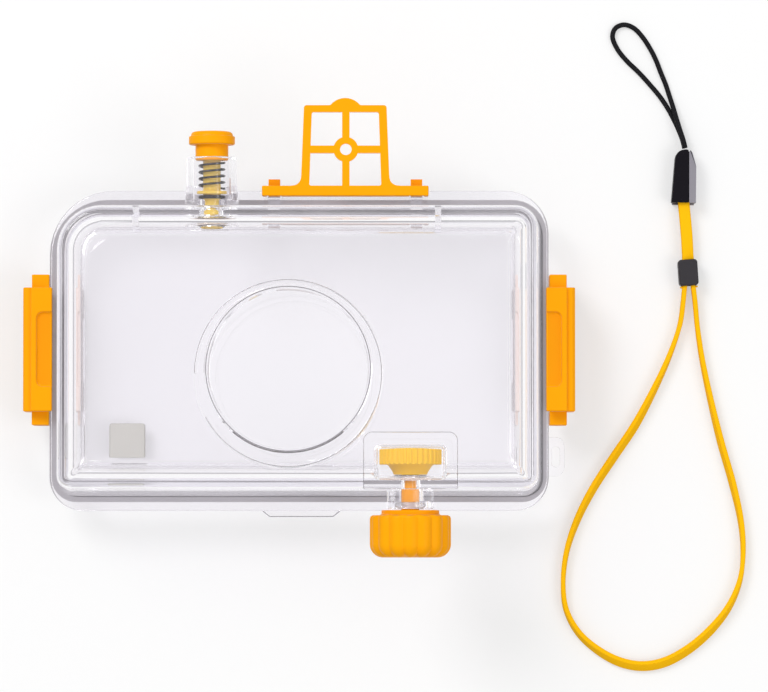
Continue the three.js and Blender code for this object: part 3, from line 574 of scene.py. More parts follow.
def pale_behind_walls(material, pale, share):
    tree = material.node_tree
    base = tree.nodes["Principled BSDF"].inputs["Base Color"]
    crossed = past_value(tree, "Transmission Depth", two_walls)
    mirrored_once = past_value(tree, "Glossy Depth", no_mirroring)
    amount = maths(tree, "MULTIPLY", maths(tree, "MAXIMUM", crossed, mirrored_once), share)
    feed(tree, mixed(tree, amount, base.links[0].from_socket, pale), base)


for orange in (orange_plastic, shaded_orange):
    pale_behind_walls(orange, (0.93, 0.87, 0.86), 0.8)
print("orange materials made pale behind walls")

# %% Clear plastic
# Light on its way to a matt surface passes almost straight through, as it very nearly does in thin acrylic.
# So does light still caught in a wall after many mirrorings: a real wall lets it out little by little.
# The tint is a little deeper at the left end, as painted shade: that end is darker by how the light falls on
# it, not by its own colour.
tint_and_shade_reach = 62 * mm
passing_tint = (0.975, 0.97, 0.985)
most_mirrorings = 3.5


def tint_and_shade_across(tree, left, right):
    axes = node(tree, "SeparateXYZ", {0: node(tree, "TexCoord").outputs["Object"]})
    reach = {"Value": axes.outputs["X"], "From Min": -tint_and_shade_reach, "From Max": tint_and_shade_reach}
    return mixed(tree, node(tree, "MapRange", reach).outputs["Result"], left, right)


def clear(name, left, right, roughness):
    plain = {"slot": "clear_plastic", "bump": 0, "IOR": 1.5, "Transmission_Weight": 1}
    material = moulded(name, left, right, roughness, **plain)
    tree = material.node_tree
    shader = tree.nodes["Principled BSDF"]
    feed(tree, tint_and_shade_across(tree, left, right), shader.inputs["Base Color"])
    through = node(tree, "BsdfTransparent", {"Color": passing_tint})
    matt_ways = ray_share(tree, "Is Shadow Ray", "Is Diffuse Ray")
    long_caught = past_value(tree, "Glossy Depth", most_mirrorings)
    choice = mixed_shader(tree, maths(tree, "MAXIMUM", matt_ways, long_caught), shader, through)
    feed(tree, choice.outputs[0], tree.nodes["Material Output"].inputs["Surface"])
    return material


clear_plastic = clear("clear_plastic", (0.962, 0.953, 0.967), (0.984, 0.978, 0.99), 0.015)
# The clearest plastic: the port window's own, and painted light on the fronts of the port and the pocket
window_and_lit_plastic = clear("window_and_lit_plastic", (0.998, 0.996, 1), (0.998, 0.996, 1), 0.01)
# A near-black clear plastic that paints the shade and dark lines seen along steep clear edges
edge_shade_plastic = clear("edge_shade_plastic", (0.08, 0.075, 0.08), (0.08, 0.075, 0.08), 0.02)
print("clear materials ready")

# %% Handing a piece over, with its body, its material and the CAD nodes that it replaces


def hand_over(piece, material, body, *nodes):
    piece.data.materials.clear()
    piece.data.materials.append(material)
    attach(piece, body)
    if nodes:
        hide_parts(*nodes)
    print(piece.name, "faces:", len(piece.data.polygons))


def dress(piece, *details):
    tidy_normals(piece)
    hand_over(piece, *details)


# A second material goes on the faces that a test picks, by the face and its centre in mm
def repaint(piece, material, test):
    piece.data.materials.append(material)
    last = len(piece.data.materials) - 1
    for face in piece.data.polygons:
        if test(face, *(face.center / mm)):
            face.material_index = last


print("hand-over ready")

# %% [markdown]
# Wrist strap
# The strap is one flat ribbon. Both its ends are crimped in a black clasp, it runs flat through a slider,
# and then stands on its edge in an open loop. A thin braided cord leaves the clasp's other end.
# A swept section gives both: the middle line is given as a list of points, and the section leans with the
# ribbon.

# %% Middle lines, in mm
# A point without a height lies on the floor.
ribbon_rest = 1.55
cord_rest = 0.7
ribbon_route = [
    (100.8, 41.2, 3.15), (101.3, 36.2, 3.15), (101.8, 30.4, 3.15), (102, 24.5, 2.9), (101.6, 20.6, 2.6),
    (101.2, 17.1, 2.5), (100.8, 13, 2.1), (100, 7.4, 1.6), (97.2, -0.9), (92.8, -10.5),
    (88, -19.4), (82.4, -27.7), (77, -36), (72.8, -44.3), (70.1, -52.5),
    (69.2, -60.7), (70, -67.7), (73.4, -73.9), (78.8, -78.6), (84.3, -81.4),
    (89.8, -82.4), (95.5, -81.5), (101.8, -78.2), (107.8, -73.1), (112.7, -66.9),
    (115.6, -60.1), (116.5, -53.1), (116, -44.9), (113.8, -34.6), (110.7, -23.6),
    (107.9, -11.9), (105.8, -1.6), (104.6, 6.7, 1.6), (104, 13, 2.1), (103.5, 17, 2.5),
    (103, 20.6, 2.4), (102.2, 24.5, 2.1), (101.8, 30.4, 1.85), (101.3, 36.2, 1.85), (100.8, 41.2, 1.85),
]
# How far the ribbon leans from its edge at each point, in degrees
ribbon_leans = [
    90, 90, 90, 70, 20,
    0, 0, 0, 8, 20,
    32, 32, 28, 20, 8,
    2, -6, -16, -28, -40,
    -44, -46, -42, -36, -22,
    -8, 0, 8, 18, 18,
    10, 4, 0, 0, 0,
    -20, -70, -90, -90, -90,
]
cord_route = [
    (101.4, 53.9, 3.3), (100.9, 56, 3), (100.2, 58.2, 2.7), (99.3, 61.2, 2.3), (98.4, 64.4, 1.7),
    (97.4, 67.7, 0.8), (96.4, 70.8), (95.1, 74), (93.9, 77.1), (92.3, 80.3),
    (90.2, 83.5), (87.9, 85.8), (85.4, 86.6), (83.2, 85.7), (82.4, 83.5),
    (83.6, 80.3), (86.1, 77.1), (89.3, 74), (92.2, 70.8), (94.8, 67.7),
    (97, 64.4), (98.7, 61.2, 0.75), (100, 58.2, 1.15), (100.8, 56, 1.5), (101.3, 53.9, 1.7),
]
print("points laid by hand:", len(ribbon_route), len(cord_route))

# %% Sweeping an outline along a smooth line
# The line is in metres and the outline in mm: x is across the ribbon's height, y through its thickness.


def smooth_line(points, rest, values, steps=6):
    knots = [Vector((*point, rest)[:3]) * mm for point in points]
    padded = [2 * knots[0] - knots[1], *knots, 2 * knots[-1] - knots[-2]]
    gaps = [sqrt((b - a).length) for a, b in zip(padded, padded[1:])]
    line, along = [], []
    for i in range(len(knots) - 1):
        p0, p1, p2, p3 = padded[i : i + 4]
        g0, g1, g2 = gaps[i : i + 3]
        m1 = g1 * ((p1 - p0) / g0 - (p2 - p0) / (g0 + g1)) + (p2 - p1)
        m2 = g1 * ((p3 - p2) / g2 - (p3 - p1) / (g1 + g2)) + (p2 - p1)
        last = i == len(knots) - 2
        for k in range(steps + last):
            t = k / steps
            a, b, c, d = p1, m1, 3 * (p2 - p1) - 2 * m1 - m2, 2 * (p1 - p2) + m1 + m2
            line.append(a + b * t + c * t * t + d * t * t * t)
            along.append(values[i] + (values[i + 1] - values[i]) * t)
    return line, along


def sweep(name, line, leans, outline):
    section = [(x * mm, y * mm) for x, y in outline]
    mesh = bpy.data.meshes.new(name)
    piece = link(bpy.data.objects.new(name, mesh))
    tube = bmesh.new()
    uv = tube.loops.layers.uv.new("along")
    rings, run = [], [0]
    for i, point in enumerate(line):
        ahead, behind = line[min(i + 1, len(line) - 1)], line[max(i - 1, 0)]
        tangent = (ahead - behind).normalized()
        side = tangent.cross(Vector((0, 0, 1))).normalized()
        lean = Matrix.Rotation(radians(leans[i]), 3, tangent)
        up, side = lean @ side.cross(tangent), lean @ side
        rings.append([tube.verts.new(point + up * x + side * y) for x, y in section])
        if i:
            run.append(run[-1] + (point - line[i - 1]).length)
    count = len(section)
    widths = [0]
    for k in range(count):
        widths.append(widths[-1] + (Vector(section[(k + 1) % count]) - Vector(section[k])).length)
    for i in range(len(rings) - 1):
        for k in range(count):
            n = (k + 1) % count
            face = tube.faces.new((rings[i][k], rings[i][n], rings[i + 1][n], rings[i + 1][k]))
            places = ((i, k), (i, k + 1), (i + 1, k + 1), (i + 1, k))
            for loop, (a, b) in zip(face.loops, places):
                loop[uv].uv = (run[a], widths[b])
            face.smooth = True
    tube.faces.new(rings[0][::-1])
    tube.faces.new(rings[-1])
    bmesh.ops.recalc_face_normals(tube, faces=tube.faces)
    tube.to_mesh(mesh)
    tube.free()
    return piece, run[-1]


print("sweep tool ready")

# %% Ribbon
ribbon_height = 3.0
ribbon_thickness = 1.25
floor_gap = 0.05


# The ribbon's lowest edge stays just over the floor however it leans
def ground(line, leans):
    for point, lean in zip(line, leans):
        turn = radians(abs(lean))
        rise = (ribbon_height * cos(turn) + ribbon_thickness * sin(turn)) / 2 + floor_gap
        point.z = max(point.z, rise * mm)


ribbon_line, leans = smooth_line(ribbon_route, ribbon_rest, ribbon_leans)
ground(ribbon_line, leans)
flat_outline = rounded_rectangle(ribbon_height, ribbon_thickness, 0.4, 4)
ribbon, ribbon_length = sweep("wrist_ribbon", ribbon_line, leans, flat_outline)
print("ribbon length in mm:", round(ribbon_length / mm, 1))

# %% Thin cord
cord_radius = 0.65
cord_line, no_lean = smooth_line(cord_route, cord_rest, [0] * len(cord_route))
thin_cord, cord_length = sweep("thin_cord", cord_line, no_lean, circle_points(cord_radius, 16))
print("cord length in mm:", round(cord_length / mm, 1))

# %% Clasp and its grey side, modelled about the clasp's foot; the grey side is a painted highlight for the black clasp's lit, mirroring side
strap_foot = Vector((102.1, 21, 0))
clasp_foot = Vector((100.9, 39.4, 0))
strap_axis = clasp_foot - strap_foot
strap_turn = Matrix.Rotation(atan2(-strap_axis.x, strap_axis.y), 4, "Z")
clasp_turn = Matrix.Rotation(radians(-0.8), 4, "Z")
clasp_length = 14
strap_height = 5


def laid(obj, foot, turn):
    obj.data.transform(Matrix.Translation(foot * mm) @ turn)
    return obj


# A block between the floor and the strap's height, with its outline's edges broken
def strap_block(name, points):
    block = outlined(name, soften(points), floor_gap, strap_height)
    round_edges(block, 0.3, 3, 50)
    return block


clasp = strap_block("clasp", [(-3.2, 0), (1.35, 0), (1.2, clasp_length, 0.5), (-2.2, clasp_length, 2.6)])
cut(clasp, box("mouth", (-2.1, -1, 0.9), (1.1, 2.5, 4.1)))
laid(clasp, clasp_foot, clasp_turn)
side_points = [(1.45, 0), (3.2, 0), (3.19, 9.6, 3), (2.1, 13.4, 1.5), (1.3, 13.9, 0.3)]
clasp_side = strap_block("clasp_side", side_points)
lower = box("lower", (-2.9, -0.45, floor_gap), (2.9, -0.02, 1.1))
round_edges(lower, 0.15)
join(clasp_side, lower)
laid(clasp_side, clasp_foot, clasp_turn)
print("clasp modelled")

# %% Slider and the ribbon's lip in it
slider = outlined("slider", rounded_rectangle(5.1, 6.9, 0.9, 8), 0.02, strap_height)
round_edges(slider, 0.5, 4, 50)
cut(slider, box("way_through", (-1.8, -5, 0.85), (1.8, 5, 4.15)))
laid(slider, strap_foot, strap_turn)
lip = box("ribbon_lip", (-2.3, -3.95, 1.1), (2.3, -3.55, 3.9))
round_edges(lip, 0.18)
cut(lip, box("lip_gap", (-1.75, -5, 0.5), (1.75, -3, 4.5)))
laid(lip, strap_foot, strap_turn)
print("slider modelled")

# %% Hand the strap over
dress(clasp, black_plastic, "rear_case", "strap_clasp")
dress(clasp_side, grey_plastic, "rear_case", "strap_clasp_insert")
dress(slider, slider_plastic, "slider", "strap_slider")
dress(lip, orange_ribbon, "slider")
hand_over(ribbon, orange_ribbon, "rear_case", "strap_loop", "strap_twin")
hand_over(thin_cord, black_braid, "rear_case", "strap_cord")

# %% [markdown]
# Rear cover
# The cover is a shallow clear tray. Its wall leans in by a hair so that it leaves the mould, and its back
# edge is rounded. A skin is bridged through outlines at rising heights, for the outside and for the hollow.

# %% Outlines of the case at rising heights
case_width = 126.5
case_height = 76
corner_radii = (13, 7.5, 5, 5)
wall = 2.2


def case_face(name, inset, level):
    radii = [max(radius - inset, radius / 4) for radius in corner_radii]
    return rounded_face(name, (0, 0), case_width - 2 * inset, case_height - 2 * inset, radii, level)


# An edge with one face or none, which lies flat on one of two levels
def on_open_rim(edge, levels):
    flat = all(min(abs(vertex.co.z / mm - level) for level in levels) < 1e-4 for vertex in edge.verts)
    return flat and len(edge.link_faces) < 2


def loft(name, levels):
    rings = [case_face(name, inset, level) for level, inset in levels]
    take(rings[0])
    for ring in rings:
        ring.select_set(True)
    bpy.ops.object.join()
    skin = bpy.context.object
    edit(skin, "EDGE")
    select()
    bpy.ops.mesh.delete(type="ONLY_FACE")
    for low, high in zip(levels, levels[1:]):
        select("DESELECT")
        pick("EDGE", lambda edge: on_open_rim(edge, (low[0], high[0])))
        bpy.ops.mesh.bridge_edge_loops()
    select()
    bpy.ops.mesh.fill_holes(sides=0)
    leave_facing_out()
    return skin


# A leaning wall from the rim to a rounded edge and the flat face
def skin_levels(rim, face, inset, lean, rounding, steps=7):
    up = 1 if face > rim else -1
    levels = [(rim, inset)]
    for k in range(steps + 1):
        angle = k / steps * pi / 2
        height = face - up * rounding * (1 - sin(angle))
        levels.append((height, inset + lean + rounding * (1 - cos(angle))))
    return levels


# A plate of the case's outline that stands out by its own amount at the sides and at the ends
def case_plate(name, side, end, low, high, soft=0.4):
    radii = [radius + max(side, end) for radius in corner_radii]
    made = plate(name, (0, 0), case_width + 2 * side, case_height + 2 * end, radii, low, high)
    if soft:
        round_edges(made, soft, 3, 60)
    return made


print("outline tools ready")

# %% Cover body
cover_rim = 14
rim_foot = 11
flange_side = 1.75
flange_end = 3.7
eye_lug_y = -27.6
seal_shift = Matrix.Translation((0.4 * mm, -0.25 * mm, 0))

cover = loft("cover", skin_levels(cover_rim, 0, 0, 0.6, 1.6))
rim_flange = case_plate("rim_flange", flange_side, flange_end, rim_foot, cover_rim)
eye_lug = plate("eye_lug", (66.225, eye_lug_y), 5.95, 10.2, (0.3, 2.4, 2.4, 0.3), rim_foot, cover_rim)
cut(eye_lug, plate("eye_slot", (66.9, eye_lug_y), 2.2, 5.3, [1.05] * 4, 0, 20))
round_edges(eye_lug, 0.55, 5, 60)
join(cover, rim_flange, eye_lug)
cover_hollow = loft("cover_hollow", skin_levels(cover_rim + 1, 2.4, wall, 0.6, 4))
groove = case_plate("groove", 1.42, 1.55, 12.2, 20, 0)
groove_core = case_plate("groove_core", -0.8, -1.6, 11, 21, 0)
groove_core.data.transform(seal_shift)
cut(groove, groove_core)
cut(cover, cover_hollow, groove)
print("cover faces:", len(cover.data.polygons))

# %% Hinge lugs for the latches
pivot_x = 67.55
pivot_z = 6.2
latch_y = 0.3
lug_reach = 1.85
lug_ends = (8.35, 15.85)


def hinge_lug(side, end):
    low, high = sorted(latch_y + end * reach for reach in lug_ends)
    near, far = sorted((side * (case_width / 2 - wall / 2), side * pivot_x))
    lug = box("lug", (near, low, pivot_z - lug_reach), (far, high, pivot_z + lug_reach))
    pivot = (side * pivot_x, 0, pivot_z)
    join(lug, bar("eye", "y", pivot, lug_reach, low, high))
    return cut(lug, bar("lug_bore", "y", pivot, 1, -30, 30))


for side in (-1, 1):
    for end in (-1, 1):
        join(cover, hinge_lug(side, end))
dress(cover, clear_plastic, "rear_case", "rear_cover")


# The steep edges of a clear piece, where a test picks them, are painted dark as painted shade for the dark
# lines that bent light draws along them
def paint_edge_shade(piece, steepness, test):
    repaint(piece, edge_shade_plastic, lambda face, x, y, z: abs(face.normal.z) < steepness and test(x, y, z))


# The strap eye's steep edges are painted dark, as painted shade
paint_edge_shade(cover, 0.85, lambda x, y, z: x > 65.1 and abs(y - eye_lug_y) < 5.2 and z > 10.9)

# %% [markdown]
# Seal and pad
# A grey rubber seal lies in a groove in the cover's rim, just outside the wall, and shows as a band
# through the clear flange. A lip stands a little higher near its middle, and its top is painted dark as
# painted
# shade: it stands for the dark line that the clear wall's edge draws there. The seal is wider along the top
# and bottom than at the sides, and its inner edge and lip sit a little to the right and low, as the lines in
# the photograph do.
# A small foam pad is stuck inside the cover, where it steadies the camera.

# %% Seal
seal = case_plate("seal", 1.3, 1.42, 12.5, cover_rim - 0.15, 0)
seal_inside = case_plate("seal_inside", -0.7, -1.5, 11, 16, 0)
seal_inside.data.transform(seal_shift)
cut(seal, seal_inside)
lip = case_plate("seal_lip", -0.1, -0.25, 12.8, cover_rim, 0)
cut(lip, case_plate("lip_inside", -0.5, -0.65, 11, 16, 0))
lip.data.transform(seal_shift)
join(seal, lip)
dress(seal, seal_rubber, "rear_case", "main_seal")
# The lip's top is painted dark, as painted shade along the wall's edge
repaint(seal, shade_line_rubber, lambda face, x, y, z: z > cover_rim - 0.12)

# %% Pad
pad = plate("pad", (-45.3, -23.4), 9.4, 9.4, [0.8] * 4, 2.72, 4.9)
round_edges(pad, 0.5, 4, 60)
dress(pad, pad_foam, "rear_case", "camera_pad")

# %% [markdown]
# Front shell
# The front is a deep clear box with a lens port, a pocket for the film wheel, a turret for the shutter
# and a boss for the knob's shaft. All of it is one moulding, so the parts are joined into one solid
# and the hollows are cut afterwards, which leaves real walls for the light to bend in.

# %% Outside of the front shell
shell_foot = 14.3
flange_top = 17.3
front_face = 46
front_plate = 2.4
front_draft = 1.6
port_x, port_y = -2.3, -6.9
port_front = 53.5
round_sides = 384
turret_sides = 96
shutter_x, shutter_z = -22.4, 30
shutter_place = (shutter_x, 0, shutter_z)
advance_x, advance_z = 28.85, 42
advance_place = (advance_x, 0, advance_z)

shell = loft("shell", skin_levels(shell_foot, front_face, 0, front_draft, 2.2))
shell_flange = case_plate("shell_flange", flange_side, flange_end, shell_foot, flange_top)
tab_outline = [
    (-9.7, -40), (-9.7, -41.7, 1), (-7.7, -43.3, 1), (8.9, -43.3, 1), (10.9, -41.7, 1), (10.9, -40),
]
tab = outlined("tab", soften(tab_outline), shell_foot, flange_top)
round_edges(tab, 0.4, 3, 50)
port_profile = [(24.3, 43.6), (24.3, front_face), (23.85, 52.9), (23.7, 53.25), (23.35, port_front)]
port = turned("port", port_profile, (port_x, port_y, 0), "z", round_sides)
turret_profile = [(7, 35.8), (6.95, 38.5), (6.45, 44), (6.4, 49.1), (6.3, 49.4), (6.05, 49.5)]
turret = turned("turret", turret_profile, shutter_place, "y", turret_sides)
pocket = plate("pocket", (advance_x, -29.125), 24, 14.55, (2.2, 2.2, 0.3, 0.3), 43.6, 53.15)
round_edges(pocket, 2, 8, 60)
boss = turned("boss", [(5.7, -41.4), (6, -41.1), (6, -34.2)], advance_place, "y", turret_sides)
join(shell, shell_flange, tab, port, turret, pocket, boss)
for x in (-6.3, 30.5):
    join(shell, box("finder_boss", (x - 1.5, 36.4, 25.1), (x + 1.5, 39.25, 31.5)))
print("front outside faces:", len(shell.data.polygons))

# %% Hollows of the front shell
bore_centre = (-2.3, -5.8, 0)
hollow_levels = skin_levels(shell_foot - 1, front_face - front_plate, wall, front_draft, 6, 12)
shell_hollow = loft("shell_hollow", hollow_levels)
bore_profile = [(21.1, 50.7), (21.1, 53), (21.5, 53.5), (21.6, 60)]
port_bore = turned("port_bore", bore_profile, bore_centre, "z", round_sides)
port_ledge = turned("port_ledge", [(20.1, 41), (20.6, 51)], bore_centre, "z", round_sides)
notch_turns = [radians(180 + 28 * k / 20) for k in range(21)]


def arc_slot(name, inner, outer, floor_level):
    points = [(outer * cos(a), outer * sin(a)) for a in notch_turns]
    points += [(inner * cos(a), inner * sin(a)) for a in reversed(notch_turns)]
    return outlined(name, points, floor_level, 60, (port_x, port_y, 0))


notch = join(arc_slot("notch", 22.9, 25, 50.5), arc_slot("notch_step", 20.5, 23, 52.6))
pocket_inside = box("pocket_inside", (19.55, -34.2, 36.6), (38.15, -24.95, 51.15))
round_edges(pocket_inside, 1.5, 8)
well_profile = [(4.6, 38.3), (4.6, 49.1), (5, 49.6), (5, 60)]
turret_well = turned("turret_well", well_profile, shutter_place, "y", turret_sides)
stem_way = bar("stem_way", "y", shutter_place, 2.6, 34, 45)
spot_face = bar("spot_face", "y", shutter_place, 3.2, 30, 35.8)
shaft_way = bar("shaft_way", "y", advance_place, 2.6, -50, -30)
seal_seat = bar("seal_seat", "y", advance_place, 4.3, -50, -39.4)
cut(shell, shell_hollow, port_bore, port_ledge, notch, pocket_inside, turret_well, stem_way, spot_face)
cut(shell, shaft_way, seal_seat)
for x in (-41.6, 36):
    join(shell, box("rib", (x - 0.8, 32, 22), (x + 0.8, 36.1, 44.8)))
dress(shell, clear_plastic, "front_case", "front_shell")

# %% Painted light on the fronts of the port and the pocket, which take the clearer window plastic, and the painted dark edges


def from_port(x, y):
    return hypot(x - port_x, y - port_y)


def in_pocket(x, y):
    return 16.8 < x < 40.9 and -36.5 < y < -21.8


def on_outer_edge(x, y, z):
    on_port = 23.3 < from_port(x, y) < 24 and z > 52.85
    on_pocket = z > 50.5 and -36.5 < y < -21.8 and (abs(x - advance_x) > 9.9 or y > -24)
    on_tab = y < -41.75 and z < flange_top + 0.1
    turn = degrees(atan2(y - port_y, x - port_x)) % 360
    in_notch = 22.4 < from_port(x, y) < 24.4 and 179.5 < turn < 208.5 and z > 50.6
    return on_port or on_pocket or on_tab or in_notch


# The fronts of the port and the pocket take the clearer plastic, so they render lighter, as painted light
# that they gather from the sides
repaint(
    shell, window_and_lit_plastic,
    lambda face, x, y, z: (from_port(x, y) < 24.4 or in_pocket(x, y)) and z > front_face + 0.05,
)
paint_edge_shade(shell, 0.8, on_outer_edge)
print("finishes on the shell:", len(shell.data.materials))

# %% Window in the lens port
window_profile = [(20.9, 51), (21.05, 51.15), (21.05, 52.8), (20.85, 53)]
window = turned("window", window_profile, bore_centre, "z", round_sides)
dress(window, window_and_lit_plastic, "front_case", "port_window")
# The window's top rim is painted dark, partly as the joint where the window is set in and partly as painted
# shade where its edge bends the light
paint_edge_shade(window, 0.95, lambda x, y, z: z > 52.8)

# %% [markdown]
# Shutter
# An orange button stands over the turret. Its amber stem runs down through a washer and a black ring seal
# into the case, and a steel spring lifts it again. Each piece is a profile turned about the stem.

# %% Button
button_profile = [
    (0, 54.9), (2.6, 54.9), (2.6, 48.6), (4, 48.6), (4.25, 48.85), (4.25, 52.6), (4.4, 52.8), (5.7, 52.8),
    (5.95, 53.05), (5.95, 54.7), (5.85, 54.92), (5.6, 55), (5.45, 55.1), (5.36, 55.5), (5.14, 55.9),
    (4.78, 56.12), (4.3, 56.2), (0, 56.2),
]
button = turned("button", button_profile, shutter_place, "y", turret_sides)
dress(button, orange_plastic, "shutter", "shutter_button")

# %% Stem, its foot, the washer and the ring seal


def on_stem(name, profile, body, node_name, closed):
    piece = turned(name, profile, shutter_place, "y", closed=closed)
    dress(piece, amber_plastic, body, node_name)


stem_profile = [
    (1.7, 34.2), (1.85, 34.35), (1.85, 38.3), (2.15, 38.3), (2.3, 38.45), (2.3, 54.45), (2.15, 54.6),
]
foot_profile = [(2.15, 34.2), (2.7, 34.2), (2.9, 34.4), (2.9, 35.3), (2.7, 35.5), (2.15, 35.5)]
washer_profile = [(2.6, 39.8), (3.75, 39.8), (3.9, 39.95), (3.9, 40.45), (3.75, 40.6), (2.6, 40.6)]
on_stem("stem", stem_profile, "shutter", "shutter_stem", False)
on_stem("stem_foot", foot_profile, "shutter", "shutter_foot", True)
on_stem("washer", washer_profile, "front_case", "shutter_washer", True)
stem_seal = rubber_ring("stem_seal", 2.6, 0.45, (shutter_x, 39.05, shutter_z), "y")
dress(stem_seal, black_rubber, "front_case", "shutter_o_ring")

# %% Spring
spring_mean = 3.2
spring_wire = 0.3
spring_turns = 4
spring_foot = 40.9
spring_top = 48.3
spring_steps = 48
bpy.ops.mesh.primitive_circle_add(
    vertices=14, radius=spring_wire * mm, location=(spring_mean * mm, 0, 0), rotation=(pi / 2, 0, 0)
)
spring = named("spring")
settle(spring)
rise = spring_top - spring_foot - 2 * spring_wire
apply_modifier(
    spring, "SCREW", axis="Z", angle=2 * pi, screw_offset=rise / spring_turns * mm,
    iterations=spring_turns, steps=spring_steps, render_steps=spring_steps
)
edit(spring)
select()
bpy.ops.mesh.fill_holes(sides=0)
leave()
place(spring, (shutter_x, spring_foot + spring_wire, shutter_z), "y")
dress(spring, spring_wire_steel, "front_case", "shutter_spring")
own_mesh(spring)

# %% [markdown]
# Film advance
# A fluted knob under the case turns a shaft, and the shaft turns a ribbed wheel in its clear pocket.
# The flutes and teeth are pressed into turned bodies, point by point.

# %% Knob
knob_radius = 10.4
knob_flutes = 16
knob_round = 3.4
flute_depth = 0.55
knob_face = -53.8
knob_shoulder = -43.1
round_radius = knob_radius - knob_round
round_height = knob_face + knob_round


# A flute sinks square to the surface: inwards on the side, towards the round's middle, upwards on the end
def flute_knob(obj):
    for vertex in obj.data.vertices:
        x, height, z = vertex.co.x / mm - advance_x, vertex.co.y / mm, vertex.co.z / mm - advance_z
        radius = hypot(x, z)
        if radius < 4.5 or height > knob_shoulder:
            continue
        sunk = flute_depth * (1 - abs(cos(atan2(z, x) * knob_flutes / 2)))
        grown = radius
        if radius <= round_radius:
            height += sunk * (radius - 4) / (round_radius - 4)
        elif height < round_height:
            share = 1 - sunk / knob_round
            height = round_height + (height - round_height) * share
            grown = round_radius + (radius - round_radius) * share
        elif radius > 9:
            grown = radius - sunk
        x, z = x * grown / radius, z * grown / radius
        vertex.co = ((x + advance_x) * mm, height * mm, (z + advance_z) * mm)


knob_profile = [(0, knob_face), (4, knob_face), (5, knob_face), (6, knob_face)]
for k in range(11):
    turn = k / 10 * pi / 2
    across, down = knob_round * sin(turn), knob_round * cos(turn)
    knob_profile.append((round_radius + across, round_height - down))
knob_profile += [
    (10.4, -48), (10.4, -45.6), (10.4, -43.9), (10.2, -43.3), (9.6, -43), (7.9, -43), (7.4, -42.7),
    (7.4, -41.9), (7.2, -41.7), (2.6, -41.7), (2.6, -49.8), (0, -49.8),
]
knob = turned("knob", knob_profile, advance_place, "y", knob_flutes * 14)
flute_knob(knob)
dress(knob, orange_plastic, "advance", "advance_knob")

# %% Wheel
wheel_radius = 8.35
wheel_teeth = 36
tooth_depth = 0.4


# Each point of the wheel's rim keeps its place unless the wave of teeth is lower there
def press_teeth(obj, low, high):
    for vertex in obj.data.vertices:
        if not low <= vertex.co.y / mm <= high:
            continue
        across = Vector((vertex.co.x / mm - advance_x, vertex.co.z / mm - advance_z))
        wave = 0.5 + 0.9 * cos(atan2(across.y, across.x) * wheel_teeth)
        allowed = wheel_radius - tooth_depth * (1 - min(max(wave, 0), 1))
        if across.length > allowed:
            across *= allowed / across.length
            vertex.co.x = (advance_x + across.x) * mm
            vertex.co.z = (advance_z + across.y) * mm


wheel_profile = [
    (0, -32.8), (2.6, -32.8), (4, -32.8), (4.3, -32.6), (4.75, -31.6), (5.6, -30.4), (6.1, -30.05),
    (8, -30.05), (8.35, -29.75), (8.35, -27.9), (8.35, -26.05), (8, -25.75), (5, -25.75), (0, -25.75),
]
wheel = turned("wheel", wheel_profile, advance_place, "y", wheel_teeth * 8)
press_teeth(wheel, -30.1, -25.7)
cut(wheel, bar("wheel_bore", "y", advance_place, 2.6, -34, -25.9, 64))
dress(wheel, wheel_plastic, "advance", "drive_wheel")

# %% Shaft, clip and ring seal


# A bar with broken edges, for shafts and pins
def rod(name, axis, centre, radius, low, high):
    return bar(name, axis, centre, radius, low, high, 64, 0.15)


shaft = rod("shaft", "y", advance_place, 2.3, -49.5, -26.2)
dress(shaft, orange_plastic, "advance", "advance_shaft")
clip_profile = [(2.6, -33.9), (4.1, -33.9), (4.2, -33.8), (4.2, -33.2), (4.1, -33.1), (2.6, -33.1)]
clip = turned("clip", clip_profile, advance_place, "y", closed=True)
dress(clip, spring_steel, "advance", "shaft_clip")
knob_seal = rubber_ring("knob_seal", 2.6, 0.7, (advance_x, -40.4, advance_z), "y")
dress(knob_seal, milky_silicone, "front_case", "knob_o_ring")

# %% [markdown]
# Sports finder
# The finder is an open frame with a cross and a ring to sight through. It stands on a hinge bar and folds
# back about a pin, which two small blocks carry on the case's clear bosses. The outline is drawn once and
# pushed to its thickness, and its window is cut before the cross bars and the ring are joined in.

# %% Frame
finder_x, finder_y, finder_z = 12.1, 40.75, 30
finder_back = 1.4
finder_front = 3.4
dome_radius = 4.96
dome_turns = [radians(140 - 10 * k) for k in range(11)]
dome_points = [(dome_radius * cos(turn), 19.0 + dome_radius * sin(turn)) for turn in dome_turns]
left_side = [
    (-14.3, -0.6), (-14.3, 1.3, 0.5), (-11.6, 1.45, 2.2), (-11.35, 4.15), (-10.65, 22.1, 0.7),
    (-4.2, 22.1, 0.5),
]
right_side = [(-x, *rest) for x, *rest in reversed(left_side)]
finder_outline = soften([*left_side, *dome_points, *right_side], 6)
finder = outlined("finder", finder_outline, finder_back, finder_front)
window_outline = soften([(-9.3, 1.3, 0.5), (9.3, 1.3, 0.5), (8.65, 20.35, 0.5), (-8.65, 20.35, 0.5)])
cut(finder, outlined("finder_window", window_outline, 0, 5))
upright = box("upright", (-0.8, 0, finder_back), (1.1, 20.7, finder_front))
level_bar = box("level_bar", (-9.9, 9.75, finder_back), (9.9, 11.65, finder_front))
sight_centre = (0.15, 10.7, 0)
join(finder, upright, level_bar, bar("sight", "z", sight_centre, 3.2, finder_back, finder_front, 64))
cut(finder, bar("sight_hole", "z", sight_centre, 1.5, 0, 5, 64))
round_edges(finder, 0.28, 3, 55)
print("finder faces:", len(finder.data.polygons))

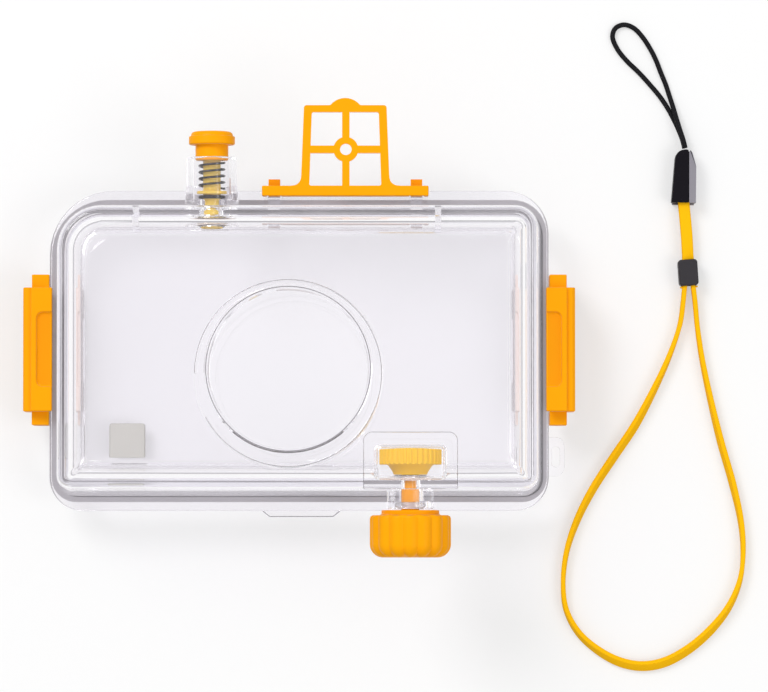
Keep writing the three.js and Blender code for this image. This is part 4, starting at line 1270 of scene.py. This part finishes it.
# %% Hinge bar under the frame
block_reach = 18.4
pin_line = (0, 0, 0)
hinge_bar = box("hinge_bar", (-21.5, -1.3, -1.3), (21.5, 1.3, finder_front))
for middle in (-block_reach, block_reach):
    cut(hinge_bar, box("notch", (middle - 1.8, -3, -3), (middle + 1.8, 3, 2.4)))
round_edges(hinge_bar, 0.3)
join(finder, hinge_bar)
cut(finder, bar("pin_way", "x", pin_line, 0.8, -30, 30))
place(finder, (finder_x, finder_y, finder_z))
dress(finder, orange_plastic, "finder", "finder_frame")

# %% Hinge blocks and pin


def hinge_block(name):
    block = box(name, (-1.5, -1.2, -4.9), (1.5, 0, 1.5))
    eye = bar("eye", "x", pin_line, 1.5, -1.5, 1.5)
    cut(eye, box("below", (-2, -3, -2), (2, -1.2, 2)))
    join(block, eye, box("peg", (-1.5, -1.2, -4.9), (1.5, 3.25, -1.9)))
    cut(block, bar("eye_bore", "x", pin_line, 0.8, -3, 3))
    round_edges(block, 0.3, 3, 55)
    return block


left_block = hinge_block("left_block")
right_block = copied("right_block", left_block)
# Both blocks take the darker orange, as painted shade behind the hinge bar
for block, side, name in ((left_block, -1, "left"), (right_block, 1, "right")):
    place(block, (finder_x + side * block_reach, finder_y, finder_z))
    dress(block, shaded_orange, "front_case", f"finder_block_{name}")
finder_pin = rod("hinge_pin", "x", pin_line, 0.6, -21.2, 21.2)
place(finder_pin, (finder_x, finder_y, finder_z))
dress(finder_pin, spring_steel, "front_case", "finder_pin")

# %% [markdown]
# Side latches
# Each latch turns about a steel pin in the cover's lugs and hooks over the front flange.
# A shallow slot in its top gives the thumb a hold. One latch is modelled about its pin, copied and turned.

# %% One latch about its pin
latch_half = 16.15
thumb_floor = 12.25
cheek_ends = (15.95, 19.65)


def latch_body():
    lever_profile = [
        (1.95, 0), (3.35, 0, 0.5), (4.35, 2, 1), (4.35, 11.45, 0.5), (3.55, 12.25, 0.4), (1.95, 12.25),
    ]
    lever = outlined("right_catch", soften(lever_profile, 4), -latch_half, latch_half, axis="-y")
    round_edges(lever, 0.3, 3, 55)
    block_profile = [
        (-2.25, 5.45), (2.25, 5.45), (2.25, 13.25), (-3.25, 13.25), (-3.25, 11.75), (-2.95, 11.45),
        (-2.25, 11.45),
    ]
    block = outlined("block", block_profile, -latch_half, latch_half, axis="-y")
    slot_outline = [(-4.25, -9.7), (0.75, -9.7, 1.6), (0.75, 9.7, 1.6), (-4.25, 9.7)]
    cut(block, outlined("thumb_slot", soften(slot_outline, 8), thumb_floor, 15))
    round_edges(block, 0.45, 4, 55)
    join(lever, block)
    for end in (-1, 1):
        low, high = sorted(end * reach for reach in cheek_ends)
        cheek = box("cheek", (-2.25, low, 0), (2.25, high, 9))
        join(cheek, bar("knuckle", "y", (0, 0, 0), 2.25, low, high, 64))
        round_edges(cheek, 0.3, 3, 55)
        join(lever, cheek)
    return cut(lever, bar("pin_bore", "y", (0, 0, 0), 1, -21, 21))


right_latch = latch_body()
left_latch = copied("left_catch", right_latch)
left_latch.data.transform(Matrix.Rotation(pi, 4, "Z"))
print("latch faces:", len(right_latch.data.polygons))

# %% Both latches, the painted shade on the floor of their slots, and their pins
pin_reach = 19.35


def fit_latch(latch, side, name):
    place(latch, (side * pivot_x, latch_y, pivot_z))
    dress(latch, orange_plastic, f"{name}_latch", f"latch_{name}")
    floor_level = pivot_z + thumb_floor

    def on_slot_floor(face, x, y, z):
        return face.normal.z > 0.99 and abs(z - floor_level) < 0.05 and side * x - pivot_x < 0.8

    # The slot's floor takes the darker orange, as painted shade in the recess
    repaint(latch, shaded_orange, on_slot_floor)
    pivot = (side * pivot_x, 0, pivot_z)
    pin = rod(f"{name}_pivot", "y", pivot, 0.8, latch_y - pin_reach, latch_y + pin_reach)
    dress(pin, spring_steel, "rear_case", f"latch_pin_{name}")


fit_latch(left_latch, -1, "left")
fit_latch(right_latch, 1, "right")
